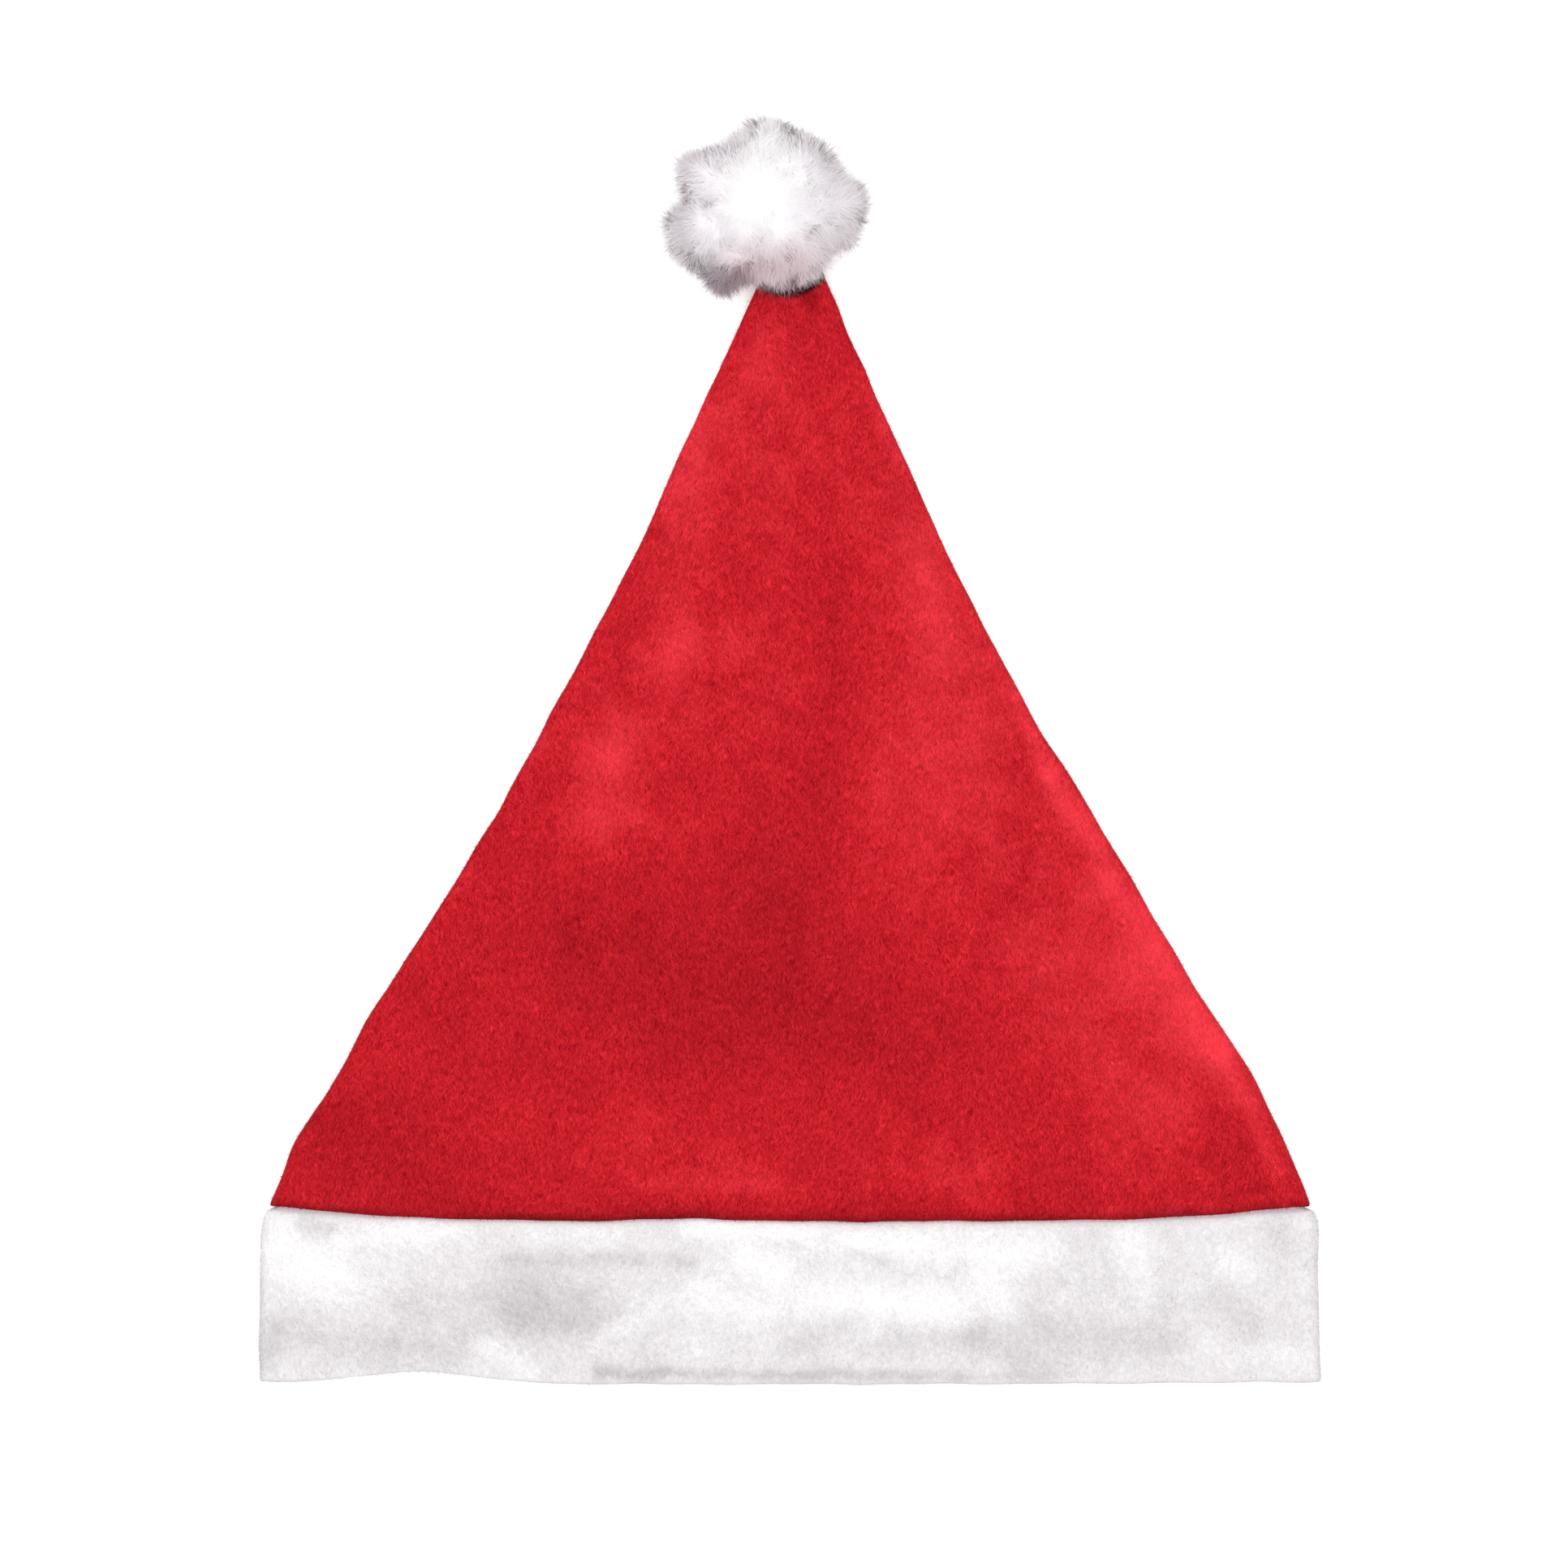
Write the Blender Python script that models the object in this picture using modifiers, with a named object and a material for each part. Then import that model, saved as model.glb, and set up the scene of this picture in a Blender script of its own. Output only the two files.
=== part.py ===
"""A Santa hat lying flat: a red felt crown, a white felt band and a fake-fur pompom.

The hat lies on the plane z = 0. +X runs across its mouth, +Y from the rim to the pompom, and
+Z points up. The origin is on the underside, halfway up the band. Lengths are in metres.
"""

import math
import random
from collections import namedtuple

import bmesh
import bpy
from mathutils import Matrix, Vector

# The hat laid flat
MOUTH_WIDTH = 0.290  # across the band, half of the 580 mm that goes round a head
BAND_HEIGHT = 0.045  # from the rim up to the crown's hem
CROWN_LENGTH = 0.263  # from the hem to the tip that is sewn to the pompom
CROWN_WALL = 0.0013  # brushed felt
BAND_WALL = 0.0016  # a thicker felt of the same kind
LAP = 0.008  # how far the band runs up inside the crown
CLEARANCE = 0.0003  # between any two pieces
FOLD_BEND = 0.0008  # inside radius of the folded sides
PUFF = 0.0085  # how far the upper layer stands over the folded sides, at the mouth
TIP_LIFT = 0.0080  # how far the pompom holds the tip off the ground
EDGE_ROUND = 0.0004  # on the raw edges

# How the edges wander
HEM_CORNER_RISE = 0.0036  # the hem runs up a little towards both sides
RIM_WAVE = 0.0031  # one shallow wave in the rim
RIM_WAVE_ACROSS = -0.71
RIM_WAVE_SPREAD = 0.14
HEM_SWELL = 0.0010  # the crown swells where the seam is turned inside
HEM_SWELL_RUN = 0.006
SHOULDER_RUN = 0.0008  # the band steps inwards over this length to go under the crown

# The pompom
POMPOM_SIZE = 0.0507  # mean width of the fur ball
POMPOM_SQUASH = 0.93  # its height is this share of its width
POMPOM_SETTLE = 0.96  # its middle is this share of its half height over the ground
POMPOM_HEAD = 0.78  # the solid head's share of the ball
POMPOM_ASIDE = -0.0065  # from the tip, across
POMPOM_BEYOND = 0.0135  # from the tip, along
LOCK_COUNT = 72
LOCK_ROOT = 0.0078  # radius of a lock of fur where it leaves the head
LOCK_POINT = 0.0026  # and at its end
LOCK_SWEEP = 0.22  # how far a lock leans from straight out
FUSE_GRID = 0.0025  # grid on which the locks are fused to the head

# Divisions of a section: the upper layer, a folded side and the lower layer
TOP_STEPS = 26
SIDE_STEPS = 5
BOTTOM_STEPS = 8
CROWN_ROWS = 25
BAND_ROWS = 7

# Half widths to the left and right, as shares of half the mouth
Section = namedtuple("Section", "up left right")
BAND_OUTLINE = [
    Section(*row)
    for row in (
        (0.00, 1.001, 1.001),
        (0.25, 1.001, 0.997),
        (0.50, 1.000, 0.994),
        (0.80, 0.997, 0.994),
        (0.93, 0.991, 0.993),
        (1.00, 0.981, 0.981),
    )
]
CROWN_OUTLINE = [
    Section(*row)
    for row in (
        (0.000, 0.981, 0.981),
        (0.028, 0.962, 0.963),
        (0.065, 0.936, 0.933),
        (0.125, 0.864, 0.881),
        (0.193, 0.801, 0.804),
        (0.231, 0.755, 0.761),
        (0.296, 0.681, 0.692),
        (0.398, 0.568, 0.584),
        (0.501, 0.468, 0.471),
        (0.603, 0.370, 0.372),
        (0.706, 0.277, 0.280),
        (0.808, 0.195, 0.197),
        (0.911, 0.108, 0.113),
        (0.962, 0.066, 0.075),
        (1.000, 0.045, 0.050),
    )
]

# How much of the mouth's puff is left further up the hat
Puff = namedtuple("Puff", "up share")
PUFF_ALONG = [
    Puff(*row)
    for row in ((0.0, 1.0), (0.15, 0.96), (0.5, 0.80), (0.8, 0.50), (0.93, 0.18), (1.0, 0.0))
]

# Soft folds of the upper layer. Each runs from one point to another: across is a share of the
# half width there, up is a share of the hat's length, width is a share of the mouth, and rise
# is a share of the puff, below 0 for a dent.
Fold = namedtuple("Fold", "across1 up1 across2 up2 width rise")
FOLDS = [
    Fold(*row)
    for row in (
        (-0.64, 0.42, -0.56, 0.84, 0.040, 0.24),  # ridge down the left
        (0.50, 0.30, 0.66, 0.78, 0.050, 0.24),  # ridge down the right
        (0.06, 0.46, 0.10, 0.90, 0.045, -0.28),  # valley between them
        (0.04, 0.26, 0.02, 0.40, 0.085, -0.20),  # hollow low in the middle
        (-0.34, 0.27, -0.44, 0.40, 0.035, 0.12),  # small ridge beside it
        (0.88, 0.18, 0.90, 0.44, 0.030, 0.22),  # puffed right side
        (-0.89, 0.19, -0.88, 0.38, 0.028, 0.18),  # puffed left side
        (-0.10, 0.17, 0.05, 0.18, 0.050, 0.14),  # swelling over the hem
        (-0.50, 0.02, -0.46, 0.12, 0.050, -0.30),  # hollow in the band
        (-0.72, 0.00, -0.72, 0.03, 0.030, 0.16),  # the rim's wave stands up
        (0.36, 0.10, 0.78, 0.04, 0.035, -0.22),  # slanting dent in the band
        (0.00, 0.08, 0.12, 0.11, 0.040, 0.12),  # swelling beside it
        (0.80, 0.00, 0.86, 0.02, 0.035, 0.12),  # right end of the rim stands up
    )
]

# Radius of the pompom seen from above, by the angle from +X in degrees
Reach = namedtuple("Reach", "angle share")
POMPOM_OUTLINE = [
    Reach(*row)
    for row in (
        (0, 1.12),
        (20, 0.94),
        (40, 0.95),
        (60, 0.89),
        (80, 0.91),
        (95, 0.97),
        (115, 0.88),
        (135, 0.92),
        (158, 1.11),
        (178, 0.96),
        (195, 1.15),
        (212, 1.18),
        (230, 1.16),
        (255, 0.97),
        (280, 1.00),
        (300, 0.96),
        (320, 0.87),
        (342, 1.04),
        (360, 1.12),
    )
]

RIM_Y = -BAND_HEIGHT / 2
HEM_Y = BAND_HEIGHT / 2
HEM_CORNER_Y = HEM_Y + HEM_CORNER_RISE
TIP_Y = HEM_Y + CROWN_LENGTH
HAT_LENGTH = TIP_Y - RIM_Y
HALF_MOUTH = MOUTH_WIDTH / 2


def ease(value):
    """0 below 0 and 1 above 1, with a smooth rise between them."""
    value = min(max(value, 0.0), 1.0)
    return value * value * (3.0 - 2.0 * value)


def look_up(table, place, column):
    """A smooth curve through one column of a table, whose first column is the place."""
    places = [row[0] for row in table]
    values = [getattr(row, column) for row in table]
    place = min(max(place, places[0]), places[-1])
    after = next((i for i in range(1, len(places)) if place <= places[i]), len(places) - 1)
    before = after - 1

    def slope(index):
        low = max(index - 1, 0)
        high = min(index + 1, len(places) - 1)
        return (values[high] - values[low]) / (places[high] - places[low])

    gap = places[after] - places[before]
    t = (place - places[before]) / gap
    start = values[before] * (1 + 2 * t) + slope(before) * gap * t
    end = values[after] * (3 - 2 * t) - slope(after) * gap * (1 - t)
    return start * (1 - t) ** 2 + end * t**2


def half_width(y, side):
    """How far the outline runs to one side, "left" or "right", at y."""
    if y < HEM_CORNER_Y:
        share = look_up(BAND_OUTLINE, (y - RIM_Y) / (HEM_CORNER_Y - RIM_Y), side)
    else:
        share = look_up(CROWN_OUTLINE, (y - HEM_CORNER_Y) / (TIP_Y - HEM_CORNER_Y), side)
    return HALF_MOUTH * share


def side_slant(y, side):
    """How much longer a cut across the slanting side is than the wall square to it."""
    step = LAP / 4
    run = half_width(y + step, side) - half_width(y - step, side)
    return math.hypot(1.0, run / (2 * step))


def wander(across, y):
    """y moved to where the hem and the rim really run, from -1 at the left to 1 at the right."""
    if y < HEM_Y:
        near_hem = ease((y - RIM_Y) / BAND_HEIGHT)
    else:
        near_hem = ease(1 - (y - HEM_Y) / (CROWN_LENGTH / 4))
    near_rim = ease((HEM_Y - y) / BAND_HEIGHT)
    wave = math.exp(-(((across - RIM_WAVE_ACROSS) / RIM_WAVE_SPREAD) ** 2))
    return y + HEM_CORNER_RISE * near_hem * abs(across) ** 5 + RIM_WAVE * near_rim * wave


def side_radius(y):
    """Half the thickness of the folded side: thickest where the band laps into the crown."""
    below = ease((y - RIM_Y) / BAND_HEIGHT + 0.3)
    above = ease(1 - (y - HEM_Y - LAP) / (CROWN_LENGTH / 4))
    return CROWN_WALL + FOLD_BEND + (BAND_WALL + CLEARANCE) * min(below, above)


def ground_gap(y):
    """How far the underside is off the ground: only near the tip."""
    return TIP_LIFT * ease((y - (TIP_Y - CROWN_LENGTH / 5)) / (CROWN_LENGTH / 5))


def fold_height(x, y):
    """The sum of the folds and dents at a point, as a share of the puff."""
    total = 0.0
    for fold in FOLDS:
        ends = []
        for across, up in ((fold.across1, fold.up1), (fold.across2, fold.up2)):
            end_y = RIM_Y + HAT_LENGTH * up
            side = "left" if across < 0 else "right"
            ends.append(Vector((across * half_width(end_y, side), end_y)))
        run = ends[1] - ends[0]
        point = Vector((x, y))
        share = min(max((point - ends[0]).dot(run) / run.length_squared, 0.0), 1.0)
        away = (point - ends[0] - run * share).length / (fold.width * MOUTH_WIDTH)
        total += fold.rise * math.exp(-away * away)
    return total


def top_height(x, y, across):
    """Height of the upper layer's outer skin over the folded side's."""
    crown = (1 - abs(across) ** 3) ** 1.5
    still = 1 - abs(across) ** 10
    along = look_up(PUFF_ALONG, (y - RIM_Y) / HAT_LENGTH, "share")
    swell = math.exp(-(((y - HEM_Y - LAP / 2) / HEM_SWELL_RUN) ** 2))
    folds = fold_height(x, y) * still * ease(2 * along)
    return PUFF * max(along * crown + folds, 0.0) + HEM_SWELL * swell * still


def ring(y, inset):
    """One closed section of the laid hat, as points inset from its outer skin."""
    radius = side_radius(y)
    base = ground_gap(y)
    ends = {}
    for side, sign in (("left", -1), ("right", 1)):
        side_y = wander(sign, y)
        ends[side] = (
            sign * (half_width(side_y, side) - radius),
            sign * (radius - inset * side_slant(side_y, side)),
            side_y,
        )
    left_x, left_reach, left_y = ends["left"]
    right_x, right_reach, right_y = ends["right"]

    def spread(steps):
        return [step / steps for step in range(steps + 1)]

    points = []
    for share in spread(TOP_STEPS):
        across = 2 * share - 1
        x = left_x + (right_x - left_x) * share
        height = base + 2 * radius + top_height(x, y, across)
        points.append(Vector((x, wander(across, y), height - inset)))
    for share in spread(SIDE_STEPS)[1:-1]:
        angle = math.pi * (0.5 - share)
        height = base + radius + (radius - inset) * math.sin(angle)
        points.append(Vector((right_x + right_reach * math.cos(angle), right_y, height)))
    for share in spread(BOTTOM_STEPS):
        across = 1 - 2 * share
        x = right_x + (left_x - right_x) * share
        points.append(Vector((x, wander(across, y), base + inset)))
    for share in spread(SIDE_STEPS)[1:-1]:
        angle = math.pi * (share - 0.5)
        height = base + radius + (radius - inset) * math.sin(angle)
        points.append(Vector((left_x + left_reach * math.cos(angle), left_y, height)))
    return points


def rows_between(low, high, count):
    """Evenly spaced places from low to high, both included."""
    return [low + (high - low) * step / count for step in range(count + 1)]


def loft(rows, cap_start=False, cap_end=False):
    """A mesh through the sections at these (y, inset) rows, with flat ends where asked."""
    bm = bmesh.new()
    rings = [[bm.verts.new(point) for point in ring(y, inset)] for y, inset in rows]
    for lower, upper in zip(rings, rings[1:]):
        for i in range(len(lower)):
            after = (i + 1) % len(lower)
            bm.faces.new((lower[i], lower[after], upper[after], upper[i]))
    if cap_start:
        bm.faces.new(rings[0])
    if cap_end:
        bm.faces.new(rings[-1])
    bmesh.ops.recalc_face_normals(bm, faces=bm.faces)
    return bm


def new_object(name, bm, collection, parent=None):
    """An object that takes over this mesh, smooth apart from its sharp edges."""
    mesh = bpy.data.meshes.new(name)
    bm.to_mesh(mesh)
    bm.free()
    mesh.shade_smooth()
    mesh.set_sharp_from_angle(angle=math.radians(50))
    obj = bpy.data.objects.new(name, mesh)
    obj.parent = parent
    collection.objects.link(obj)
    return obj


def give_material(obj, name, colour, roughness, sheen):
    """Its own cloth material: linear colour, no metal."""
    material = bpy.data.materials.new(name)
    material.use_nodes = True
    shader = material.node_tree.nodes["Principled BSDF"]
    shader.inputs["Base Color"].default_value = (*colour, 1.0)
    shader.inputs["Roughness"].default_value = roughness
    shader.inputs["Metallic"].default_value = 0.0
    shader.inputs["Sheen Weight"].default_value = sheen
    obj.data.materials.append(material)


def give_wall(obj, wall):
    """Thickens an open skin inwards, and rounds its raw edges."""
    solidify = obj.modifiers.new("wall", "SOLIDIFY")
    solidify.thickness = wall
    solidify.offset = -1
    solidify.use_even_offset = True
    bevel = obj.modifiers.new("raw_edges", "BEVEL")
    bevel.width = min(EDGE_ROUND, wall / 3)
    bevel.segments = 1
    bevel.limit_method = "ANGLE"
    bevel.angle_limit = math.radians(60)


def make_crown(collection, parent):
    """The red cone: one skin from the hem to a closed tip, hollow and open at the hem."""
    lap_rows = rows_between(HEM_Y, HEM_Y + LAP, 3)
    upper_rows = rows_between(HEM_Y + LAP, TIP_Y, CROWN_ROWS)[1:]
    bm = loft([(y, 0.0) for y in lap_rows + upper_rows], cap_end=True)
    crown = new_object("crown", bm, collection, parent)
    give_material(crown, "red_brushed_felt", (0.56, 0.012, 0.022), 0.92, 0.4)
    give_wall(crown, CROWN_WALL)


def make_band(collection, parent):
    """The white tube round the mouth, whose top runs up inside the crown."""
    tucked = CROWN_WALL + CLEARANCE
    shoulder = HEM_Y - CLEARANCE
    rows = [(y, 0.0) for y in rows_between(RIM_Y, shoulder - SHOULDER_RUN, BAND_ROWS)]
    rows.append((shoulder, tucked))
    rows += [(y, tucked) for y in rows_between(HEM_Y, HEM_Y + LAP, 3)[1:]]
    band = new_object("band", loft(rows), collection, parent)
    give_material(band, "white_brushed_felt", (0.86, 0.86, 0.87), 0.92, 0.4)
    give_wall(band, BAND_WALL)


def lock_directions():
    """Directions spread evenly over the ball, each with how far its lock reaches."""
    chance = random.Random(24)
    turn = math.pi * (3 - math.sqrt(5))
    for index in range(LOCK_COUNT):
        height = 1 - 2 * (index + 0.5) / LOCK_COUNT
        around = turn * index
        level = math.sqrt(1 - height * height)
        out = Vector((level * math.cos(around), level * math.sin(around), height))
        outline = look_up(POMPOM_OUTLINE, math.degrees(around) % 360, "share")
        reach = 1 + (outline - 1) * level**2 + chance.uniform(-0.05, 0.04)
        lean = Vector((chance.gauss(0, 1), chance.gauss(0, 1), chance.gauss(0, 1)))
        yield out, reach, (out + LOCK_SWEEP * lean.cross(out)).normalized()


def make_pompom(collection, cutters, parent):
    """A round head with tapered locks of fur fused to it, which takes the crown's tip."""
    radius = POMPOM_SIZE / 2
    head = radius * POMPOM_HEAD
    bm = bmesh.new()
    bmesh.ops.create_icosphere(bm, subdivisions=4, radius=head)
    for out, reach, along in lock_directions():
        end = out * radius * reach
        length = end.length - head / 2
        turned = along.to_track_quat("Z", "Y").to_matrix().to_4x4()
        middle = Matrix.Translation(end - along * length / 2)
        bmesh.ops.create_cone(
            bm,
            cap_ends=True,
            segments=8,
            radius1=LOCK_ROOT,
            radius2=LOCK_POINT,
            depth=length,
            matrix=middle @ turned,
        )
    bmesh.ops.scale(bm, vec=(1.0, 1.0, POMPOM_SQUASH), verts=bm.verts)
    pompom = new_object("pompom", bm, collection, parent)
    tip_x = (half_width(TIP_Y, "right") - half_width(TIP_Y, "left")) / 2
    # The ball is cut flat where it rests on the ground.
    pompom.location = (
        tip_x + POMPOM_ASIDE,
        TIP_Y + POMPOM_BEYOND,
        radius * POMPOM_SQUASH * POMPOM_SETTLE,
    )
    give_material(pompom, "white_fake_fur", (0.88, 0.87, 0.88), 0.95, 0.6)

    fuse = pompom.modifiers.new("fuse", "REMESH")
    fuse.mode = "VOXEL"
    fuse.voxel_size = FUSE_GRID
    fuse.use_smooth_shade = True

    ground = bmesh.new()
    bmesh.ops.create_cube(ground, size=2 * POMPOM_SIZE)
    ground_cutter = new_object("ground_cutter", ground, cutters, parent)
    ground_cutter.location = (*pompom.location.xy, -POMPOM_SIZE)
    tip_rows = rows_between(TIP_Y - POMPOM_SIZE / 2, TIP_Y + CLEARANCE, 6)
    tip = loft([(y, -CLEARANCE) for y in tip_rows], cap_start=True, cap_end=True)
    tip_cutter = new_object("tip_cutter", tip, cutters, parent)
    for cutter in (ground_cutter, tip_cutter):
        cutter.hide_render = True
        cutter.display_type = "WIRE"
        cut = pompom.modifiers.new(cutter.name, "BOOLEAN")
        cut.operation = "DIFFERENCE"
        cut.solver = "EXACT"
        cut.object = cutter


def main():
    for obj in list(bpy.data.objects):
        bpy.data.objects.remove(obj, do_unlink=True)
    collection = bpy.data.collections.new("santa_hat")
    cutters = bpy.data.collections.new("cutters")
    for made in (collection, cutters):
        bpy.context.scene.collection.children.link(made)
    cutters.hide_render = True
    hat = bpy.data.objects.new("hat", None)
    collection.objects.link(hat)
    make_crown(collection, hat)
    make_band(collection, hat)
    make_pompom(collection, cutters, hat)


main()
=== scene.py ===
import functools
import math
import bmesh
import bpy
import numpy as np
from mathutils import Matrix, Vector, noise


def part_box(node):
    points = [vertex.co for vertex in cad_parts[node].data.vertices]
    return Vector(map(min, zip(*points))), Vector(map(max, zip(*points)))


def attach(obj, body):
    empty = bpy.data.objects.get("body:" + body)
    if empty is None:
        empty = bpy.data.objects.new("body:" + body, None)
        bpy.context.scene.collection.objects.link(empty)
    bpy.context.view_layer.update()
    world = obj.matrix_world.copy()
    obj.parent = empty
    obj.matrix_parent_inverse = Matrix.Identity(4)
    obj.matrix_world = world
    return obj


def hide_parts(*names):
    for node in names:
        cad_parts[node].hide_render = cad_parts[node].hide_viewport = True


# A red and white felt Christmas hat that lies flat. Metres, +X across the mouth, +Y to the pompom, +Z up.
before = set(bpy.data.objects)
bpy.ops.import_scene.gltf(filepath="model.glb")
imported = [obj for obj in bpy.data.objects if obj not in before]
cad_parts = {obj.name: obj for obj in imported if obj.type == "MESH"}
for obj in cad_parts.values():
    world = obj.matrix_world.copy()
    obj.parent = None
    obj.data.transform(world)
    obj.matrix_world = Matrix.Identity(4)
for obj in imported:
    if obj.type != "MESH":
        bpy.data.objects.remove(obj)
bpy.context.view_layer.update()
print("frame loaded")

bandLow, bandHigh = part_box("band")
crownLow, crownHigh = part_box("crown")
rimY = bandLow.y
hemY = crownLow.y
tipY = crownHigh.y
bandHeight = hemY - rimY
crownLength = tipY - hemY
hatLength = tipY - rimY

# Shape of the laid cloth. Outline rows: up, left, right (shares of half the mouth). Fold rows:
# across1, up1, across2, up2, width (share of the mouth), rise (share of the puff), in strokeUnits.
hatShape = {
    "mouthShare": 1.001,  # the band's widest row
    "crownWall": 0.0013,
    "bandWall": 0.0016,
    "lap": 0.008,
    "clearance": 0.0003,
    "foldBend": 0.0008,
    "puff": 0.0085,
    "tipLift": 0.0080,
    "cornerRise": 0.0036,
    "rimWave": 0.0031,
    "rimWaveAcross": -0.71,
    "rimWaveSpread": 0.14,
    "hemSwell": 0.0010,
    "hemSwellRun": 0.006,
    "bandOutline": [
        (0.00, 1.001, 1.001), (0.25, 1.001, 0.997), (0.50, 1.000, 0.994),
        (0.80, 0.997, 0.994), (0.93, 0.991, 0.993), (1.00, 0.981, 0.981),
    ],
    "crownOutline": [
        (0.000, 0.981, 0.981), (0.028, 0.962, 0.963), (0.065, 0.936, 0.933),
        (0.125, 0.864, 0.881), (0.193, 0.801, 0.804), (0.231, 0.755, 0.761),
        (0.296, 0.681, 0.692), (0.398, 0.568, 0.584), (0.501, 0.468, 0.471),
        (0.603, 0.370, 0.372), (0.706, 0.277, 0.280), (0.808, 0.195, 0.197),
        (0.911, 0.108, 0.113), (0.962, 0.066, 0.075), (1.000, 0.045, 0.050),
    ],
    "puffAlong": [(0.0, 1.0), (0.15, 0.96), (0.5, 0.80), (0.8, 0.50), (0.93, 0.18), (1.0, 0.0)],
    "folds": [
        (-64, 420, -56, 840, 40, 24),  # ridge down the left
        (50, 300, 66, 780, 50, 24),  # ridge down the right
        (6, 460, 10, 900, 45, -28),  # valley between them
        (4, 260, 2, 400, 85, -20),  # hollow low in the middle
        (-34, 270, -44, 400, 35, 12),  # small ridge beside it
        (88, 180, 90, 440, 30, 22),  # puffed right side
        (-89, 190, -88, 380, 28, 18),  # puffed left side
        (-10, 170, 5, 180, 50, 14),  # swelling over the hem
        (-50, 20, -46, 120, 50, -30),  # hollow in the band
        (-72, 0, -72, 30, 30, 16),  # the rim's wave stands up
        (36, 100, 78, 40, 35, -22),  # slanting dent in the band
        (0, 80, 12, 110, 40, 12),  # swelling beside it
        (80, 0, 86, 20, 35, 12),  # right end of the rim stands up
    ],
}
halfMouth = (bandHigh.x - bandLow.x) / 2 / hatShape["mouthShare"]
pompomShape = {
    "size": 0.0507,
    "squash": 0.93,
    "settle": 0.96,
    "aside": -0.0065,
    "beyond": 0.0135,
    "outline": [
        (0, 1.10), (10, 0.99), (17, 0.93), (27, 0.88), (39, 0.92), (53, 0.89), (70, 0.86), (82, 0.87),
        (94, 0.97), (100, 0.93), (104, 0.88), (113, 0.86), (125, 0.84), (140, 0.90), (148, 0.99),
        (155, 1.11), (161, 1.05), (170, 0.98), (178, 0.94), (183, 0.95), (187, 1.07), (190, 1.12),
        (197, 1.15), (205, 1.16), (214, 1.15), (218, 1.13), (223, 1.04), (233, 1.10), (240, 1.07),
        (246, 0.98), (258, 0.89), (266, 0.90), (280, 0.95), (294, 0.94), (305, 0.93), (313, 0.91),
        (325, 0.86), (330, 0.88), (336, 1.03), (342, 1.01), (349, 1.03), (355, 1.06), (360, 1.10),
    ],
}


def smooth(value):
    value = np.clip(value, 0.0, 1.0)
    return value * value * (3.0 - 2.0 * value)


def readColumn(rows, place, column):  # a smooth curve through one column
    rows = np.array(rows)
    places, values = rows[:, 0], rows[:, column]
    place = np.clip(place, places[0], places[-1])
    after = np.clip(np.searchsorted(places, place), 1, len(places) - 1)
    before = after - 1
    low = np.clip(np.arange(len(places)) - 1, 0, None)
    high = np.clip(np.arange(len(places)) + 1, None, len(places) - 1)
    slopes = (values[high] - values[low]) / (places[high] - places[low])
    gap = places[after] - places[before]
    t = (place - places[before]) / gap
    start = values[before] * (1 + 2 * t) + slopes[before] * gap * t
    end = values[after] * (3 - 2 * t) - slopes[after] * gap * (1 - t)
    return start * (1 - t) ** 2 + end * t ** 2


def halfWidth(y, side):
    column = {"left": 1, "right": 2}[side]
    cornerY = hemY + hatShape["cornerRise"]
    onBand = readColumn(hatShape["bandOutline"], (y - rimY) / (cornerY - rimY), column)
    onCrown = readColumn(hatShape["crownOutline"], (y - cornerY) / (tipY - cornerY), column)
    return halfMouth * np.where(y < cornerY, onBand, onCrown)


def sideSlant(y, side):
    step = hatShape["lap"] / 4
    run = halfWidth(y + step, side) - halfWidth(y - step, side)
    return np.hypot(1.0, run / (2 * step))


def wander(across, y):  # where the hem and the rim really run
    aboveHem = smooth(1 - (y - hemY) / (crownLength / 4))
    nearHem = np.where(y < hemY, smooth((y - rimY) / bandHeight), aboveHem)
    nearRim = smooth((hemY - y) / bandHeight)
    wave = np.exp(-(((across - hatShape["rimWaveAcross"]) / hatShape["rimWaveSpread"]) ** 2))
    return y + hatShape["cornerRise"] * nearHem * np.abs(across) ** 5 + hatShape["rimWave"] * nearRim * wave


def sideRadius(y):
    below = smooth((y - rimY) / bandHeight + 0.3)
    above = smooth(1 - (y - hemY - hatShape["lap"]) / (crownLength / 4))
    tucked = hatShape["bandWall"] + hatShape["clearance"]
    return hatShape["crownWall"] + hatShape["foldBend"] + tucked * np.minimum(below, above)


def groundGap(y):
    return hatShape["tipLift"] * smooth((y - (tipY - crownLength / 5)) / (crownLength / 5))


strokeUnits = (100, 1000, 100, 1000, 1000, 100)  # hundredths, and thousandths up and in width


def strokes(x, y, rows):  # soft strokes: each runs between two spots, with a width and a strength
    total = np.zeros(np.broadcast(x, y).shape)
    for across1, up1, across2, up2, width, strength in np.array(rows) / strokeUnits:
        ends = []
        for across, up in ((across1, up1), (across2, up2)):
            endY = rimY + hatLength * up
            ends.append((across * float(halfWidth(endY, "left" if across < 0 else "right")), endY))
        (x1, y1), (x2, y2) = ends
        runX, runY = x2 - x1, y2 - y1
        share = np.clip(((x - x1) * runX + (y - y1) * runY) / (runX ** 2 + runY ** 2), 0, 1)
        away = np.hypot(x - x1 - runX * share, y - y1 - runY * share) / (width * 2 * halfMouth)
        total += strength * np.exp(-away * away)
    return total


def topHeight(x, y, across):
    crown = (1 - np.abs(across) ** 3) ** 1.5
    still = 1 - np.abs(across) ** 10
    along = readColumn(hatShape["puffAlong"], (y - rimY) / hatLength, 1)
    swell = np.exp(-(((y - hemY - hatShape["lap"] / 2) / hatShape["hemSwellRun"]) ** 2))
    folds = strokes(x, y, hatShape["folds"]) * still * smooth(2 * along)
    return hatShape["puff"] * np.maximum(along * crown + folds, 0) + hatShape["hemSwell"] * swell * still


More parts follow.
